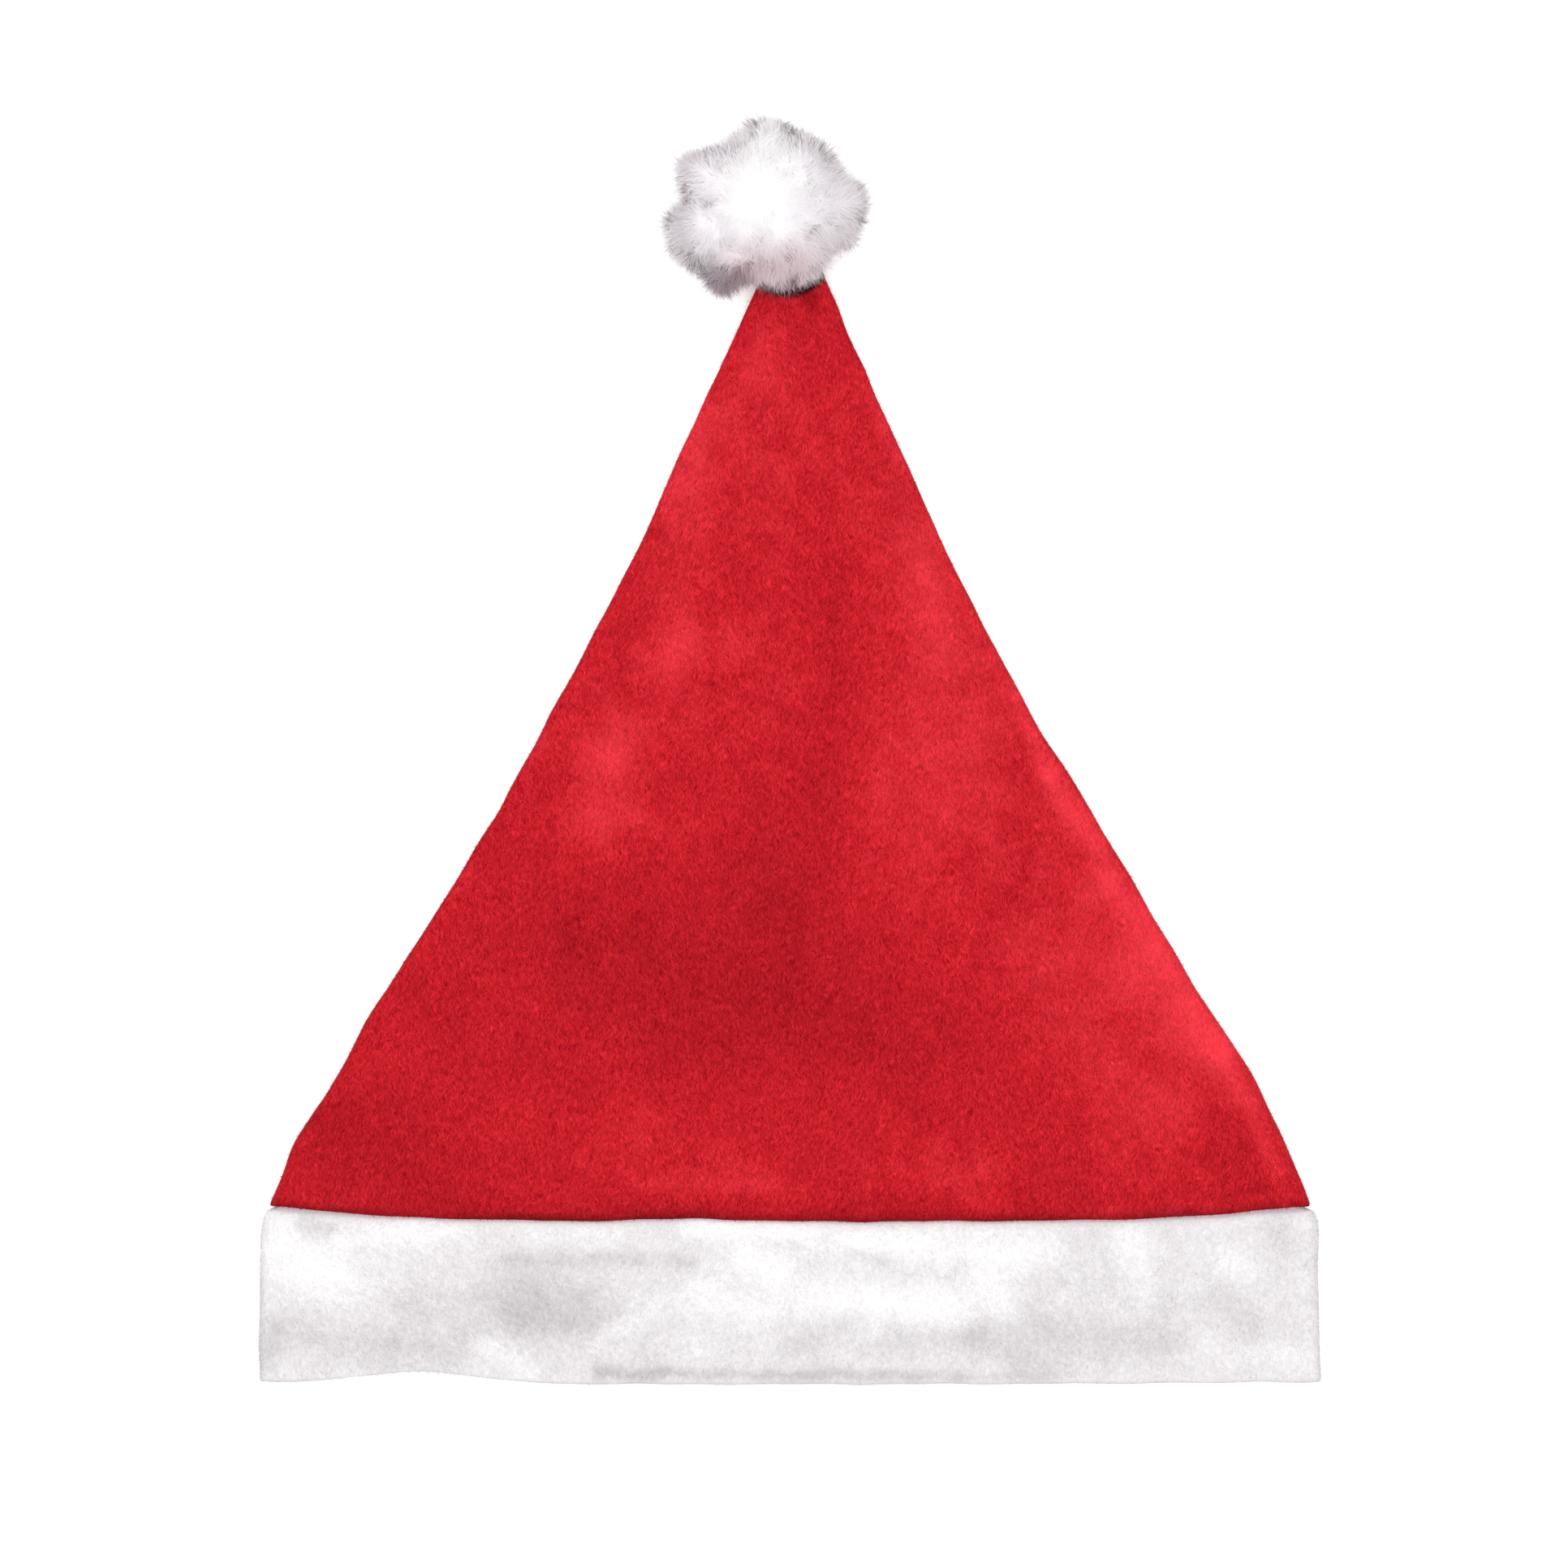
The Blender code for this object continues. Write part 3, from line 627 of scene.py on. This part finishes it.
# Crown: one skin of red felt, thick, turned in at the hem
crownLook = {
    "steps": (150, 10, 30),
    "rows": (90, 40),  # up the cone, and close together at its tip
    "hemRoll": 0.0016,  # radius of the turned edge
    "sideRoll": 0.25,  # share of it that the folded sides have
    "hemDark": (0.0042, 0.50, 0.30),  # how far the roll's shade reaches, how dark, how uneven
    "hemShort": 0.0035,  # how far the nap is shorter
    "tipReach": 0.030,  # how far down the close rows go
    "buried": (0.006, 0.002),  # where the nap begins and is full, below the tip in the pompom
    "wall": 0.0011,
    "gap": (-0.0007, 0.0002, 0.0124, 0.0011),  # painted shadow under the pompom: x, y from the tip, radius, fade
    "nap": {
        "Density": 4.9e6, "Length": 0.0019, "Length Spread": 0.4,
        "Width": 0.00013, "Lift": 0.12, "Jitter": 0.75,
        "Clump Density": 2.0e6, "Clump Share": 0.15, "Turned": 0.2, "Ruffle": 0.35, "Seed": 3},
    "topNap": {
        "Density": 3.0e6, "Length": 0.0022, "Length Spread": 0.4,
        "Width": 0.00010, "Lift": 0.20, "Jitter": 0.95,
        "Clump Density": 2.0e6, "Clump Share": 0.1, "Turned": 0.3, "Ruffle": 0.35, "Seed": 8},
    "under": {
        "Density": 1.4e6, "Length": 0.0022, "Length Spread": 0.3,
        "Width": 0.00020, "Lift": 0.10, "Jitter": 0.7,
        "Clump Density": 1.0e6, "Clump Share": 0.2, "Ruffle": 0.3, "Seed": 5},
    "lean": 0.15,  # painted light: the nap is lighter towards the right
    # Painted light and shade of sheens, ridges and hollows: across1, up1, across2, up2, width, lighter or
    # darker, in strokeUnits
    "brushed": [
        (98, 615, 92, 536, 9, 40),  # right edge roll
        (92, 536, 94, 443, 11, 45), (94, 443, 97, 299, 16, 55), (97, 299, 95, 148, 9, 35),
        (81, 738, 73, 651, 29, 45),  # sheen down the right
        (66, 594, 66, 464, 57, 35), (78, 399, 81, 292, 69, 15),
        (-58, 680, -53, 637, 20, 40),  # sheen down the left
        (-71, 579, -60, 479, 24, 50), (-74, 795, -62, 723, 23, 25),
        (-30, 911, -4, 867, 31, 35),  # near the tip
        (-11, 471, -7, 342, 61, -50),  # hollow low in the middle
        (-49, 414, -32, 364, 54, -30), (5, 356, 30, 320, 61, -30),
        (28, 723, 10, 522, 23, -30),  # valley in the middle
        (-90, 220, -76, 191, 38, -30),  # left corner
        (89, 220, 93, 155, 27, -40),  # right corner
        (44, 155, 50, 140, 27, -20),
        (-21, 176, 1, 169, 21, 40),  # swelling over the hem
        (-71, 241, -46, 234, 38, 12),
        (33, 968, 44, 950, 11, -80),  # dent under the pompom
        (-84, 666, -84, 601, 14, -20),  # left edge
        (-90, 342, -81, 335, 31, -20),
        (-62, 299, 37, 292, 57, -14),  # painted shade low in the middle
        (-54, 378, -14, 313, 38, -12), (-65, 414, -58, 378, 21, -30), (11, 313, 24, 270, 27, -20),
        (-95, 220, -81, 241, 34, -30), (-87, 184, -56, 184, 21, -10), (44, 263, 50, 184, 34, -28),
        (81, 191, 84, 184, 23, -30),
        (76, 529, 67, 435, 32, -38),  # shade beside the right sheen
        (32, 551, 25, 450, 23, 20), (49, 543, 48, 507, 23, 15), (99, 507, 99, 471, 20, 20),
        (89, 378, 86, 356, 21, 35), (86, 428, 97, 421, 20, 20),
        (-88, 853, -84, 824, 23, 55),  # sheen under the tip, left
        (-49, 896, -50, 867, 18, 25),
        (105, 882, 93, 810, 14, 40),  # and right
        (-64, 666, -41, 651, 21, 10), (-79, 558, -72, 507, 17, 30), (-54, 507, -53, 486, 17, 25),
        (65, 367, 69, 364, 21, 20), (-32, 212, -29, 184, 31, 20), (28, 198, 34, 184, 23, 20),
        (-69, 320, -67, 299, 17, 20), (28, 781, 26, 767, 15, -20), (24, 630, 28, 608, 15, -20),
        (16, 882, 24, 867, 20, -15), (83, 270, 80, 220, 27, -10), (96, 457, 98, 443, 15, -35),
        (53, 464, 53, 435, 23, -25), (-73, 335, -60, 277, 23, 5), (-59, 842, -9, 795, 20, 30),
        (-91, 788, -86, 767, 15, 30), (-97, 543, -93, 579, 15, 30), (-64, 522, -56, 479, 18, -28),
        (40, 277, 41, 263, 20, 20), (-13, 637, -18, 666, 20, 20), (-54, 205, -47, 191, 18, -20),
        (-25, 191, 1, 184, 20, -20),
        (-96, 163, -52, 161, 10, -20),  # the hem's lowest part is darker
        (-33, 159, 29, 158, 11, -45), (56, 163, 87, 165, 9, -30), (83, 364, 90, 328, 23, 25),
        (89, 313, 93, 284, 18, 35), (71, 270, 77, 241, 26, 22), (91, 507, 101, 479, 15, 25),
        (-80, 630, -29, 651, 20, 22), (-98, 615, -86, 615, 15, 30), (-68, 551, -38, 587, 20, 18),
        (-74, 493, -20, 493, 18, 20), (-31, 767, -8, 759, 18, 20), (25, 817, 31, 810, 17, 22),
        (-91, 788, -61, 795, 14, 18), (-72, 385, -50, 342, 28, -20), (-63, 306, -48, 256, 26, -20),
        (-25, 299, -17, 292, 20, -18), (-97, 479, -83, 457, 17, -20), (47, 378, 72, 471, 21, -12),
        (24, 371, 28, 364, 20, -15), (-84, 227, -82, 227, 12, 35), (-14, 198, -7, 191, 14, 25),
    ],
}


# How the nap of both felts lies
napShape = {
    "patches": [(0.035, 0.6), (0.011, 0.7)],  # size of its lighter and darker patches, squeeze along Y
    "patchStrength": 0.15,
    "raggedEdge": (0.006, 0.0015),  # size and height of the bends in the edge of a painted light stroke
    "turns": (0.040, 0.012, 0.6),  # size of its broad and small turns, share that the small ones have
    "pressed": 0.55,  # how much shorter it is round the folded sides
    "shortened": 0.6,  # and at a cut or turned edge
}


def paintedLightAndPatchesOf(points, look, seed):
    # Painted light lighter to one side, random patches, and painted light and shade strokes
    total = look["lean"] * points[:, 0] / halfMouth
    for step, (size, squeeze) in enumerate(napShape["patches"]):
        total = total + napShape["patchStrength"] * wobble(points * (1, squeeze, 0), size, seed + step)
    size, high = napShape["raggedEdge"]
    blur = high * wobble(points, size, seed + 2)
    return total + strokes(points[:, 0] + blur, points[:, 1] - blur, look["brushed"])


def combSkin(mesh, look, seed, slope, turn, tucked, short):
    points, normals = pointsOf(mesh), normalsOf(mesh)
    broad, small, smallShare = napShape["turns"]
    angle = -math.pi / 2 + turn * wobble(points * (1, 0.7, 0), broad, seed + 4)
    angle += smallShare * turn * wobble(points, small, seed + 5)
    flow = np.stack([np.cos(angle), np.sin(angle) * (1 - short), np.zeros(len(angle))], 1) * slope
    flow -= normals * (flow * normals).sum(1, keepdims=True)
    top = smooth((normals[:, 2] + 0.25) / 0.4)  # the upper layer and its folded sides
    folded = 1 - smooth(normals[:, 2] / 0.7)
    longest = (1 - napShape["shortened"] * short) * (1 - napShape["pressed"] * folded)
    setAttribute(mesh, "flow", flow)
    # Painted light and shade with random patches on the upper layer, and painted shade where tucked
    setAttribute(mesh, "brush", paintedLightAndPatchesOf(points, look, seed) * top)
    setAttribute(mesh, "reach", longest)
    setAttribute(mesh, "tucked", tucked)
    return top


def hemLine(points):  # where the hem runs at each point's place across
    rise = hatShape["cornerRise"] * np.abs(np.clip(points[:, 0] / halfMouth, -1, 1)) ** 5
    size, high = reliefShape["hemWobble"]
    return hemY + rise - hemSag(points[:, 0]) + high * wobble(points * (1, 0, 0), size, 3)


def withNap(mesh, share):  # a copy of a skin on which the nap grows only where share is over 0
    copy = mesh.copy()
    setAttribute(copy, "napShare", share)
    return copy


def addWall(piece, wall):
    solidify = piece.modifiers.new("wall", "SOLIDIFY")
    solidify.thickness = wall
    solidify.offset = -1
    solidify.use_even_offset = True
    mesh = bakedCopy(piece)
    piece.modifiers.clear()
    piece.data = mesh


redFelt = fibreMaterial(feltLooks["redFelt"])
redNap = fibreMaterial(feltLooks["redNap"])


def makeCrown():
    roll = crownLook["hemRoll"]
    hemRows = hemY + roll * np.array([0.0, 0.12, 0.3, 0.55, 0.8, 1.0, 1.5, 2.2, 3.2])
    bodyRows, tipRows = crownLook["rows"]
    tipStart = tipY - crownLook["tipReach"]
    body = np.linspace(hemY + 4.4 * roll, tipStart, bodyRows, endpoint=False)
    rows = np.concatenate([hemRows, body, np.linspace(tipStart, tipY, tipRows)])
    depth = np.clip(1 - (rows - hemY) / roll, 0, 1)
    insets = roll * (1 - np.sqrt(1 - depth ** 2))
    grid = sections(rows, insets, insets * crownLook["sideRoll"], crownLook["steps"])
    mesh = loftMesh("crownFelt", grid, closeEnd=True)
    points = pointsOf(mesh)
    fromHem = points[:, 1] - hemLine(points)
    short = 1 - smooth(fromHem / crownLook["hemShort"])
    shadowX, shadowY, shadowSize, fade = crownLook["gap"]
    fromShadow = np.hypot(points[:, 0] - shadowX, points[:, 1] - tipY - shadowY) - shadowSize
    wide, dark, uneven = crownLook["hemDark"]
    dark = dark + uneven * wobble(points * (1, 0, 0), 0.030, 31)
    # Painted shade along the hem's roll, and a painted shadow, near black, under the pompom
    tucked = dark * (1 - smooth(fromHem / wide)) + 0.97 * (1 - smooth(fromShadow / fade))
    top = combSkin(mesh, crownLook, 20, 1.0, 0.9, np.clip(tucked, 0, 1), short)
    start, end = crownLook["buried"]
    buried = 1 - smooth((points[:, 1] - (tipY - start)) / (start - end))
    naps = [
        growStrands("crownNap", withNap(mesh, top * buried), crownLook["nap"], redNap),
        growStrands("crownTopNap", withNap(mesh, top * buried), crownLook["topNap"], redNap),
        growStrands("crownUnderNap", withNap(mesh, (1 - top) * buried), crownLook["under"], redNap),
    ]
    crown = newPiece("crownFelt", mesh, redFelt)
    addWall(crown, crownLook["wall"])
    return crown, naps


# Band: a tube of white felt whose top runs up under the crown's hem
bandLook = {
    "steps": (150, 10, 30),
    "rows": 34,
    "tuck": 0.0018,  # how far it lies below the crown's felt at the hem
    "shoulder": 0.0040,  # the run in which it goes down to there
    "sideShoulder": 0.0013,
    "rimRound": (0.0006, 0.0005),  # the raw rim is a little rounded
    "hemShade": (0.0012, 0.5),  # width and strength of the shade under the hem
    "edgeShade": (0.0012, 0.16),  # and along the rim and the sides
    "wall": 0.0014,
    "nap": {
        "Density": 8.5e6, "Length": 0.0019, "Length Spread": 0.4,
        "Width": 0.00011, "Lift": 0.14, "Jitter": 0.85,
        "Clump Density": 1.5e6, "Clump Share": 0.2, "Turned": 0.25, "Ruffle": 0.4, "Seed": 13},
    "under": {
        "Density": 2.0e6, "Length": 0.0020, "Length Spread": 0.4,
        "Width": 0.00020, "Lift": 0.10, "Jitter": 0.8,
        "Clump Density": 1.0e6, "Clump Share": 0.2, "Ruffle": 0.3, "Seed": 15},
    "lean": 0.0,
    # Painted light and shade of its hollows, swellings and creases, in the same columns as the crown's
    "brushed": [
        (-96, 115, -83, 83, 29, 60),  # left end
        (-97, 40, -63, 29, 20, -40), (-92, 139, -87, 136, 9, -50),
        (-51, 83, -39, 61, 32, -60),  # hollow on the left
        (-53, 110, -19, 110, 8, -45), (-57, 32, -49, 11, 11, 30),
        (-17, 76, 2, 68, 18, 35),  # swelling in the middle
        (7, 79, 32, 65, 20, 70), (12, 126, 49, 115, 18, 60),
        (11, 117, 18, 107, 5, -50),  # short crease
        (1, 36, 35, 40, 15, -35),  # slanting hollow
        (35, 47, 65, 47, 20, -50), (53, 104, 69, 76, 31, -15),
        (81, 76, 87, 47, 14, -50),  # right end
        (79, 119, 87, 97, 14, 40), (88, 25, 97, 22, 12, 35), (93, 148, 93, 126, 15, -40),
        (-37, 9, 48, 6, 4, -40),  # the rim's edge
        (-36, 9, 31, 6, 7, -45),  # the underside's shade along the rim
        (-36, 11, -24, 11, 12, -20), (-99, 11, -96, 47, 9, -35), (-83, 76, -51, 61, 21, -35),
        (-51, 50, -42, 54, 15, -35), (42, 18, 71, 32, 18, -30),
        (-85, 126, -62, 133, 11, 45),  # lighter under the hem
        (-48, 122, -33, 130, 11, 35), (-19, 137, 4, 137, 11, 50), (-8, 112, -2, 97, 14, 50),
        (38, 90, 41, 61, 17, 55), (64, 126, 66, 83, 20, 55), (7, 29, 16, 47, 11, 35),
        (-37, 36, -24, 68, 9, 35), (62, 54, 65, 50, 14, 35),
    ],
}
whiteFelt = fibreMaterial(feltLooks["whiteFelt"])
whiteNap = fibreMaterial(feltLooks["whiteNap"])


def makeBand():
    tuck, shoulder = bandLook["tuck"], bandLook["shoulder"]
    rimRows = rimY + np.array([0.0, 0.0002, 0.0006, 0.0012])
    shoulderRows = hemY - shoulder * np.array([1.0, 0.8, 0.6, 0.45, 0.33, 0.25, 0.18, 0.12, 0.06, 0.0])
    lapRows = hemY + hatShape["lap"] * np.array([0.2, 0.45, 0.7, 1.0])
    midRows = np.linspace(rimY + 0.002, hemY - shoulder * 1.2, bandLook["rows"])
    rows = np.concatenate([rimRows, midRows, shoulderRows, lapRows])
    rise = np.clip((hemY - rows) / shoulder, 0, 1)
    insets = np.where(rise <= 0, tuck, tuck * (1 - smooth(rise) ** 0.6))
    rimWide, rimHigh = bandLook["rimRound"]
    edge = np.clip(1 - (rows - rimY) / rimWide, 0, 1)
    cut = rimHigh * (1 - np.sqrt(1 - edge ** 2))
    sideRise = smooth((hemY - rows) / bandLook["sideShoulder"])
    grid = sections(rows, insets + cut, tuck * (1 - sideRise) + cut, bandLook["steps"])
    mesh = loftMesh("bandFelt", grid)
    points = pointsOf(mesh)
    underHem = hemLine(points) - points[:, 1]
    fromEdge = np.minimum(points[:, 1] - rimY, 0.97 * halfMouth - np.abs(points[:, 0]) + 0.004)
    # Painted shade under the hem's edge and along the rim and the sides
    tucked = sum(
        dark * (1 - smooth(away / wide))
        for away, (wide, dark) in ((underHem, bandLook["hemShade"]), (fromEdge, bandLook["edgeShade"]))
    )
    short = np.maximum(1.5 * (1 - smooth(underHem / 0.003)), 1 - smooth((points[:, 1] - rimY) / 0.0025))
    top = combSkin(mesh, bandLook, 40, 0.8, 1.5, tucked, short)
    seen = smooth((underHem - 0.0002) / 0.0008)
    naps = [
        growStrands("bandNap", withNap(mesh, top * seen), bandLook["nap"], whiteNap),
        growStrands("bandUnderNap", withNap(mesh, (1 - top) * seen), bandLook["under"], whiteNap),
    ]
    band = newPiece("bandFelt", mesh, whiteFelt)
    addWall(band, bandLook["wall"])
    return band, naps


# Pompom: a cotton-soft ball of fake fur, matted smooth on top, in loose lobes round its sides
pompomLook = {
    "furDepth": 0.0029,  # how far the loose fur stands off the matted body
    "shift": (0.0004, -0.0023, 0.0),  # its sewn side is pressed towards the crown
    "tufts": 34,
    "tuftTurn": 4.2,  # how fast a tuft falls away from its tip
    "bulge": 0.035,
    "crease": 0.008,
    "creaseWide": 0.20,
    "bends": (0.35, 0.12),  # size and strength of the bends in the creases
    "matted": (0.35, 0.85),  # where the smooth top begins and ends, as its slope to the parting
    "lumps": [(0.34, 0.045), (0.15, 0.026), (0.06, 0.016)],  # size and height, shares of the radius
    "parting": (-0.20, 0.10, 1.0),  # the fur falls away from here
    "fall": 0.35,
    "gather": 1.6,
    "swirls": [(0.45, 0.9), (0.16, 0.8)],  # size and strength of the turns in its direction
    "paintedBrightest": (-0.14, 0.10, 0.98),  # the whitest place of the painted light
    "paintedLitTop": (1.9, 0.56, -0.10),  # painted light: how fast the white fades, where it ends, and the darkest side
    "sewnSide": (0.36, 0.15),  # how rosy the painted reflection of the red felt below makes the fur there, how much shorter
    "shadedTuft": (241, 13, 1.6),  # a tuft in painted shade: where it is round the ball in degrees, its width, how dark
    # Places of painted light and shade: direction, reach round the ball, strength
    "shades": [
        ((-0.85, -0.10, 0.50), 0.35, -0.38), ((-0.75, 0.50, 0.45), 0.30, -0.38),
        ((0.20, 0.85, 0.50), 0.45, 0.45), ((0.10, -0.75, 0.60), 0.30, 0.35),
        ((-0.30, -0.70, 0.60), 0.18, 0.25),
    ],
    "fur": {
        "Density": 9.0e6, "Length": 0.0042, "Length Spread": 0.5,
        "Width": 0.00009, "Lift": 0.35, "Jitter": 1.00,
        "Arch": 0.4, "Curl": 0.7, "Clump Density": 0.5e6, "Clump Share": 0.18,
        "Turned": 0.25, "Ruffle": 0.35, "Glow": 1.1, "Seed": 23},
    "fuzz": {
        "Density": 3.0e6, "Length": 0.0040, "Length Spread": 0.6,
        "Width": 0.00009, "Lift": 0.60, "Jitter": 0.75,
        "Arch": 0.4, "Curl": 0.8, "Clump Density": 0.25e6, "Clump Share": 0.35,
        "Turned": 0.3, "Ruffle": 0.3, "Glow": 1.1, "Seed": 29},
    "wisps": {
        "Density": 2.2e6, "Length": 0.0058, "Length Spread": 0.4,
        "Width": 0.00010, "Lift": 0.42, "Jitter": 0.55,
        "Arch": 0.3, "Curl": 0.3, "Clump Density": 0.16e6, "Clump Share": 0.60,
        "Turned": 0.2, "Ruffle": 0.25, "Glow": 1.1, "Seed": 37},
}
whiteFur = fibreMaterial(feltLooks["whiteFur"])


def tuftDirections(count, seed):
    chance = np.random.default_rng(seed)
    order = np.arange(count) + 0.5
    height = 1 - 2 * order / count
    turn = order * math.pi * (3 - math.sqrt(5))
    around = np.sqrt(1 - height ** 2)
    found = np.stack([around * np.cos(turn), around * np.sin(turn), height], 1)
    found += chance.normal(0, 0.10, found.shape)
    return found / np.linalg.norm(found, axis=1, keepdims=True)


def makePompom():
    look = pompomLook
    bm = bmesh.new()
    bmesh.ops.create_icosphere(bm, subdivisions=6, radius=1.0)
    mesh = bpy.data.meshes.new("pompomBody")
    bm.to_mesh(mesh)
    bm.free()
    out = pointsOf(mesh)
    angle = np.degrees(np.arctan2(out[:, 1], out[:, 0])) % 360
    level = out[:, 0] ** 2 + out[:, 1] ** 2
    reach = 1 + (readColumn(pompomShape["outline"], angle, 1) - 1) * level
    # Tufts: each swells, and a crease runs between it and the next
    tips = tuftDirections(look["tufts"], 5)
    size, strength = look["bends"]
    bent = out + strength * np.stack([wobble(out + shift, size, 90) for shift in (0, 7, 14)], 1)
    away = np.arccos(np.clip(bent @ tips.T / np.linalg.norm(bent, axis=1, keepdims=True), -1, 1))
    nearest = np.argsort(away, axis=1)[:, :2]
    first, second = np.take_along_axis(away, nearest, 1).T
    crease = np.exp(-(((second - first) / look["creaseWide"]) ** 2))
    parting = np.array(look["parting"]) / np.linalg.norm(look["parting"])
    facing = out @ parting
    start, end = look["matted"]
    loose = 1 - smooth((facing - start) / (end - start))  # tufts part at the sides only
    swell = look["bulge"] * np.cos(np.clip(first * look["tuftTurn"], 0, math.pi)) - look["crease"] * crease
    swell *= 0.25 + 0.75 * loose
    rough = sum(high * wobble(out, size, 61) for size, high in look["lumps"]) * (0.35 + 0.65 * loose)
    share = reach * (1 + swell + rough) - look["furDepth"] / pompomRadius
    middle = pompomCentre + look["shift"]
    points = middle + out * pompomRadius * share[:, None] * (1, 1, pompomShape["squash"])
    points[:, 2] = np.maximum(points[:, 2], 0.0006)
    mesh.vertices.foreach_set("co", points.astype(np.float32).ravel())
    mesh.update()
    # Fur falls from the parting and gathers towards each tuft's tip
    fall = out * (out @ parting)[:, None] - parting
    gather = tips[nearest[:, 0]] - out
    swirl = sum(high * np.stack([wobble(out + shift, size, 70) for shift in (0, 9, 18)], 1)
                for size, high in look["swirls"])
    sweep = look["fall"] * fall + (look["gather"] * loose)[:, None] * gather + swirl
    sweep -= out * (sweep * out).sum(1, keepdims=True)
    sweep /= np.maximum(np.linalg.norm(sweep, axis=1, keepdims=True), 0.25)
    setAttribute(mesh, "flow", sweep)
    # Painted light: whiter towards the top and on each tuft's swell, greyer round the sides, with random
    # patches, places of painted light and shade, and a tuft in painted shade
    steep, fadeEnd, darkest = look["paintedLitTop"]
    brush = steep * (out @ look["paintedBrightest"] - fadeEnd) + 0.15 * swell / look["bulge"]
    brush = np.maximum(brush + 0.25 * wobble(out, 0.25, 63), darkest)
    for place, wide, strength in look["shades"]:
        apart = np.arccos(np.clip(out @ place / np.linalg.norm(place), -1, 1))
        brush += strength * np.exp(-((apart / wide) ** 2))
    where, wide, dark = look["shadedTuft"]
    shadedTuft = np.exp(-(((angle - where) / wide) ** 2)) * smooth((level - 0.5) / 0.3)
    nearCrown = smooth((-out[:, 1] - 0.25) / 0.5) * smooth(1.3 - 1.6 * np.abs(out[:, 0] - 0.05))
    setAttribute(mesh, "brush", brush - dark * shadedTuft)
    rosy, shorter = look["sewnSide"]
    # Painted reflection of the red felt near the crown, and painted shade in the creases between tufts
    setAttribute(mesh, "tucked", np.clip(rosy * nearCrown + 0.06 * crease * loose, 0, 1))
    length = 0.75 + 0.25 * reach * (1 - 0.4 * smooth(facing))
    setAttribute(mesh, "reach", length * (1 - shorter * nearCrown))
    full = np.ones(len(out))
    furs = [
        growStrands(name, withNap(mesh, share), look[kind], whiteFur, segments=2)
        for name, kind, share in (
            ("pompomFur", "fur", full), ("pompomFuzz", "fuzz", full),
            ("pompomWisps", "wisps", 0.15 + 0.85 * loose),
        )
    ]
    return newPiece("pompomBody", mesh, whiteFur), furs


def placePieces():
    crown, crownNaps = makeCrown()
    print("crown made")
    band, bandNaps = makeBand()
    print("band made")
    pompom, furs = makePompom()
    print("pompom made")
    for piece, node, slot, more in (
        (crown, "crown", "red_felt", crownNaps),
        (band, "band", "white_felt", bandNaps),
        (pompom, "pompom", "white_fur", furs),
    ):
        for each in (piece, *more):
            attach(each, "root")
        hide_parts(node)


placePieces()

# Studio: a seamless white table under soft light, seen from straight above
studio = {
    "pixelSize": 0.2217e-3,
    "frameSide": 1932,
    "middle": (966, 971),
    "axisPixel": 974,
    "rimPixel": 1705,
    "focusHeight": 0.002,
    "lens": 180.0,
    "world": 0.50,
    "floorSide": 8.0,
    "floorGlow": 0.20,
    # place, what it points at, width, length, watts
    "lights": [
        ((0.10, 0.10, 3.2), (0.0, 0.14, 0.0), 1.6, 1.6, 78.0),
        ((-1.00, 0.45, 0.85), (0.0, 0.14, 0.0), 0.8, 0.8, 5.0),
        ((0.95, -0.10, 0.85), (0.0, 0.14, 0.0), 0.8, 0.8, 2.5),
    ],
}


def makeStudio():
    bm = bmesh.new()
    bmesh.ops.create_grid(bm, x_segments=8, y_segments=8, size=studio["floorSide"] / 2)
    mesh = bpy.data.meshes.new("floor")
    bm.to_mesh(mesh)
    bm.free()
    material, tree, shader = startMaterial("mattWhitePaper")
    spot = addNode(tree, "ShaderNodeTexCoord").outputs["Object"]
    grain = addNode(tree, "ShaderNodeTexNoise", {"Vector": spot, "Scale": 40.0})
    colour = addNode(tree, "ShaderNodeMix", {
        0: grain, 6: linear("#F8F8F8"), 7: linear("#FCFCFC")}, data_type="RGBA")
    tree.links.new(colour.outputs[2], shader.inputs["Base Color"])
    shader.inputs["Roughness"].default_value = 0.9
    shader.inputs["Emission Color"].default_value = (1, 1, 1, 1)
    shader.inputs["Emission Strength"].default_value = studio["floorGlow"]  # a lit table, as in packshots
    floor = newPiece("floor", mesh, material)
    floor.location.y = 0.14

    for number, (place, aim, width, length, watts) in enumerate(studio["lights"]):
        light = bpy.data.lights.new(f"softbox{number}", "AREA")
        light.shape = "RECTANGLE"
        light.size, light.size_y, light.energy = width, length, watts
        lamp = bpy.data.objects.new(light.name, light)
        lamp.location = place
        lamp.rotation_euler = (Vector(aim) - Vector(place)).to_track_quat("-Z", "Y").to_euler()
        bpy.context.scene.collection.objects.link(lamp)
    world = bpy.data.worlds.new("studioWorld")
    world.use_nodes = True
    world.node_tree.nodes["Background"].inputs["Color"].default_value = (1, 1, 1, 1)
    world.node_tree.nodes["Background"].inputs["Strength"].default_value = studio["world"]
    bpy.context.scene.world = world
    bpy.context.scene.view_settings.view_transform = "Standard"

    camera = bpy.data.cameras.new("camera")
    camera.lens = studio["lens"]
    camera.sensor_width = 36.0
    camera.clip_end = 20.0
    stand = bpy.data.objects.new("camera", camera)
    span = studio["frameSide"] * studio["pixelSize"]
    x = (studio["middle"][0] - studio["axisPixel"]) * studio["pixelSize"]
    y = rimY + (studio["rimPixel"] - studio["middle"][1]) * studio["pixelSize"]
    stand.location = (x, y, span * camera.lens / camera.sensor_width + studio["focusHeight"])
    bpy.context.scene.collection.objects.link(stand)
    bpy.context.scene.camera = stand


makeStudio()
print("studio made")
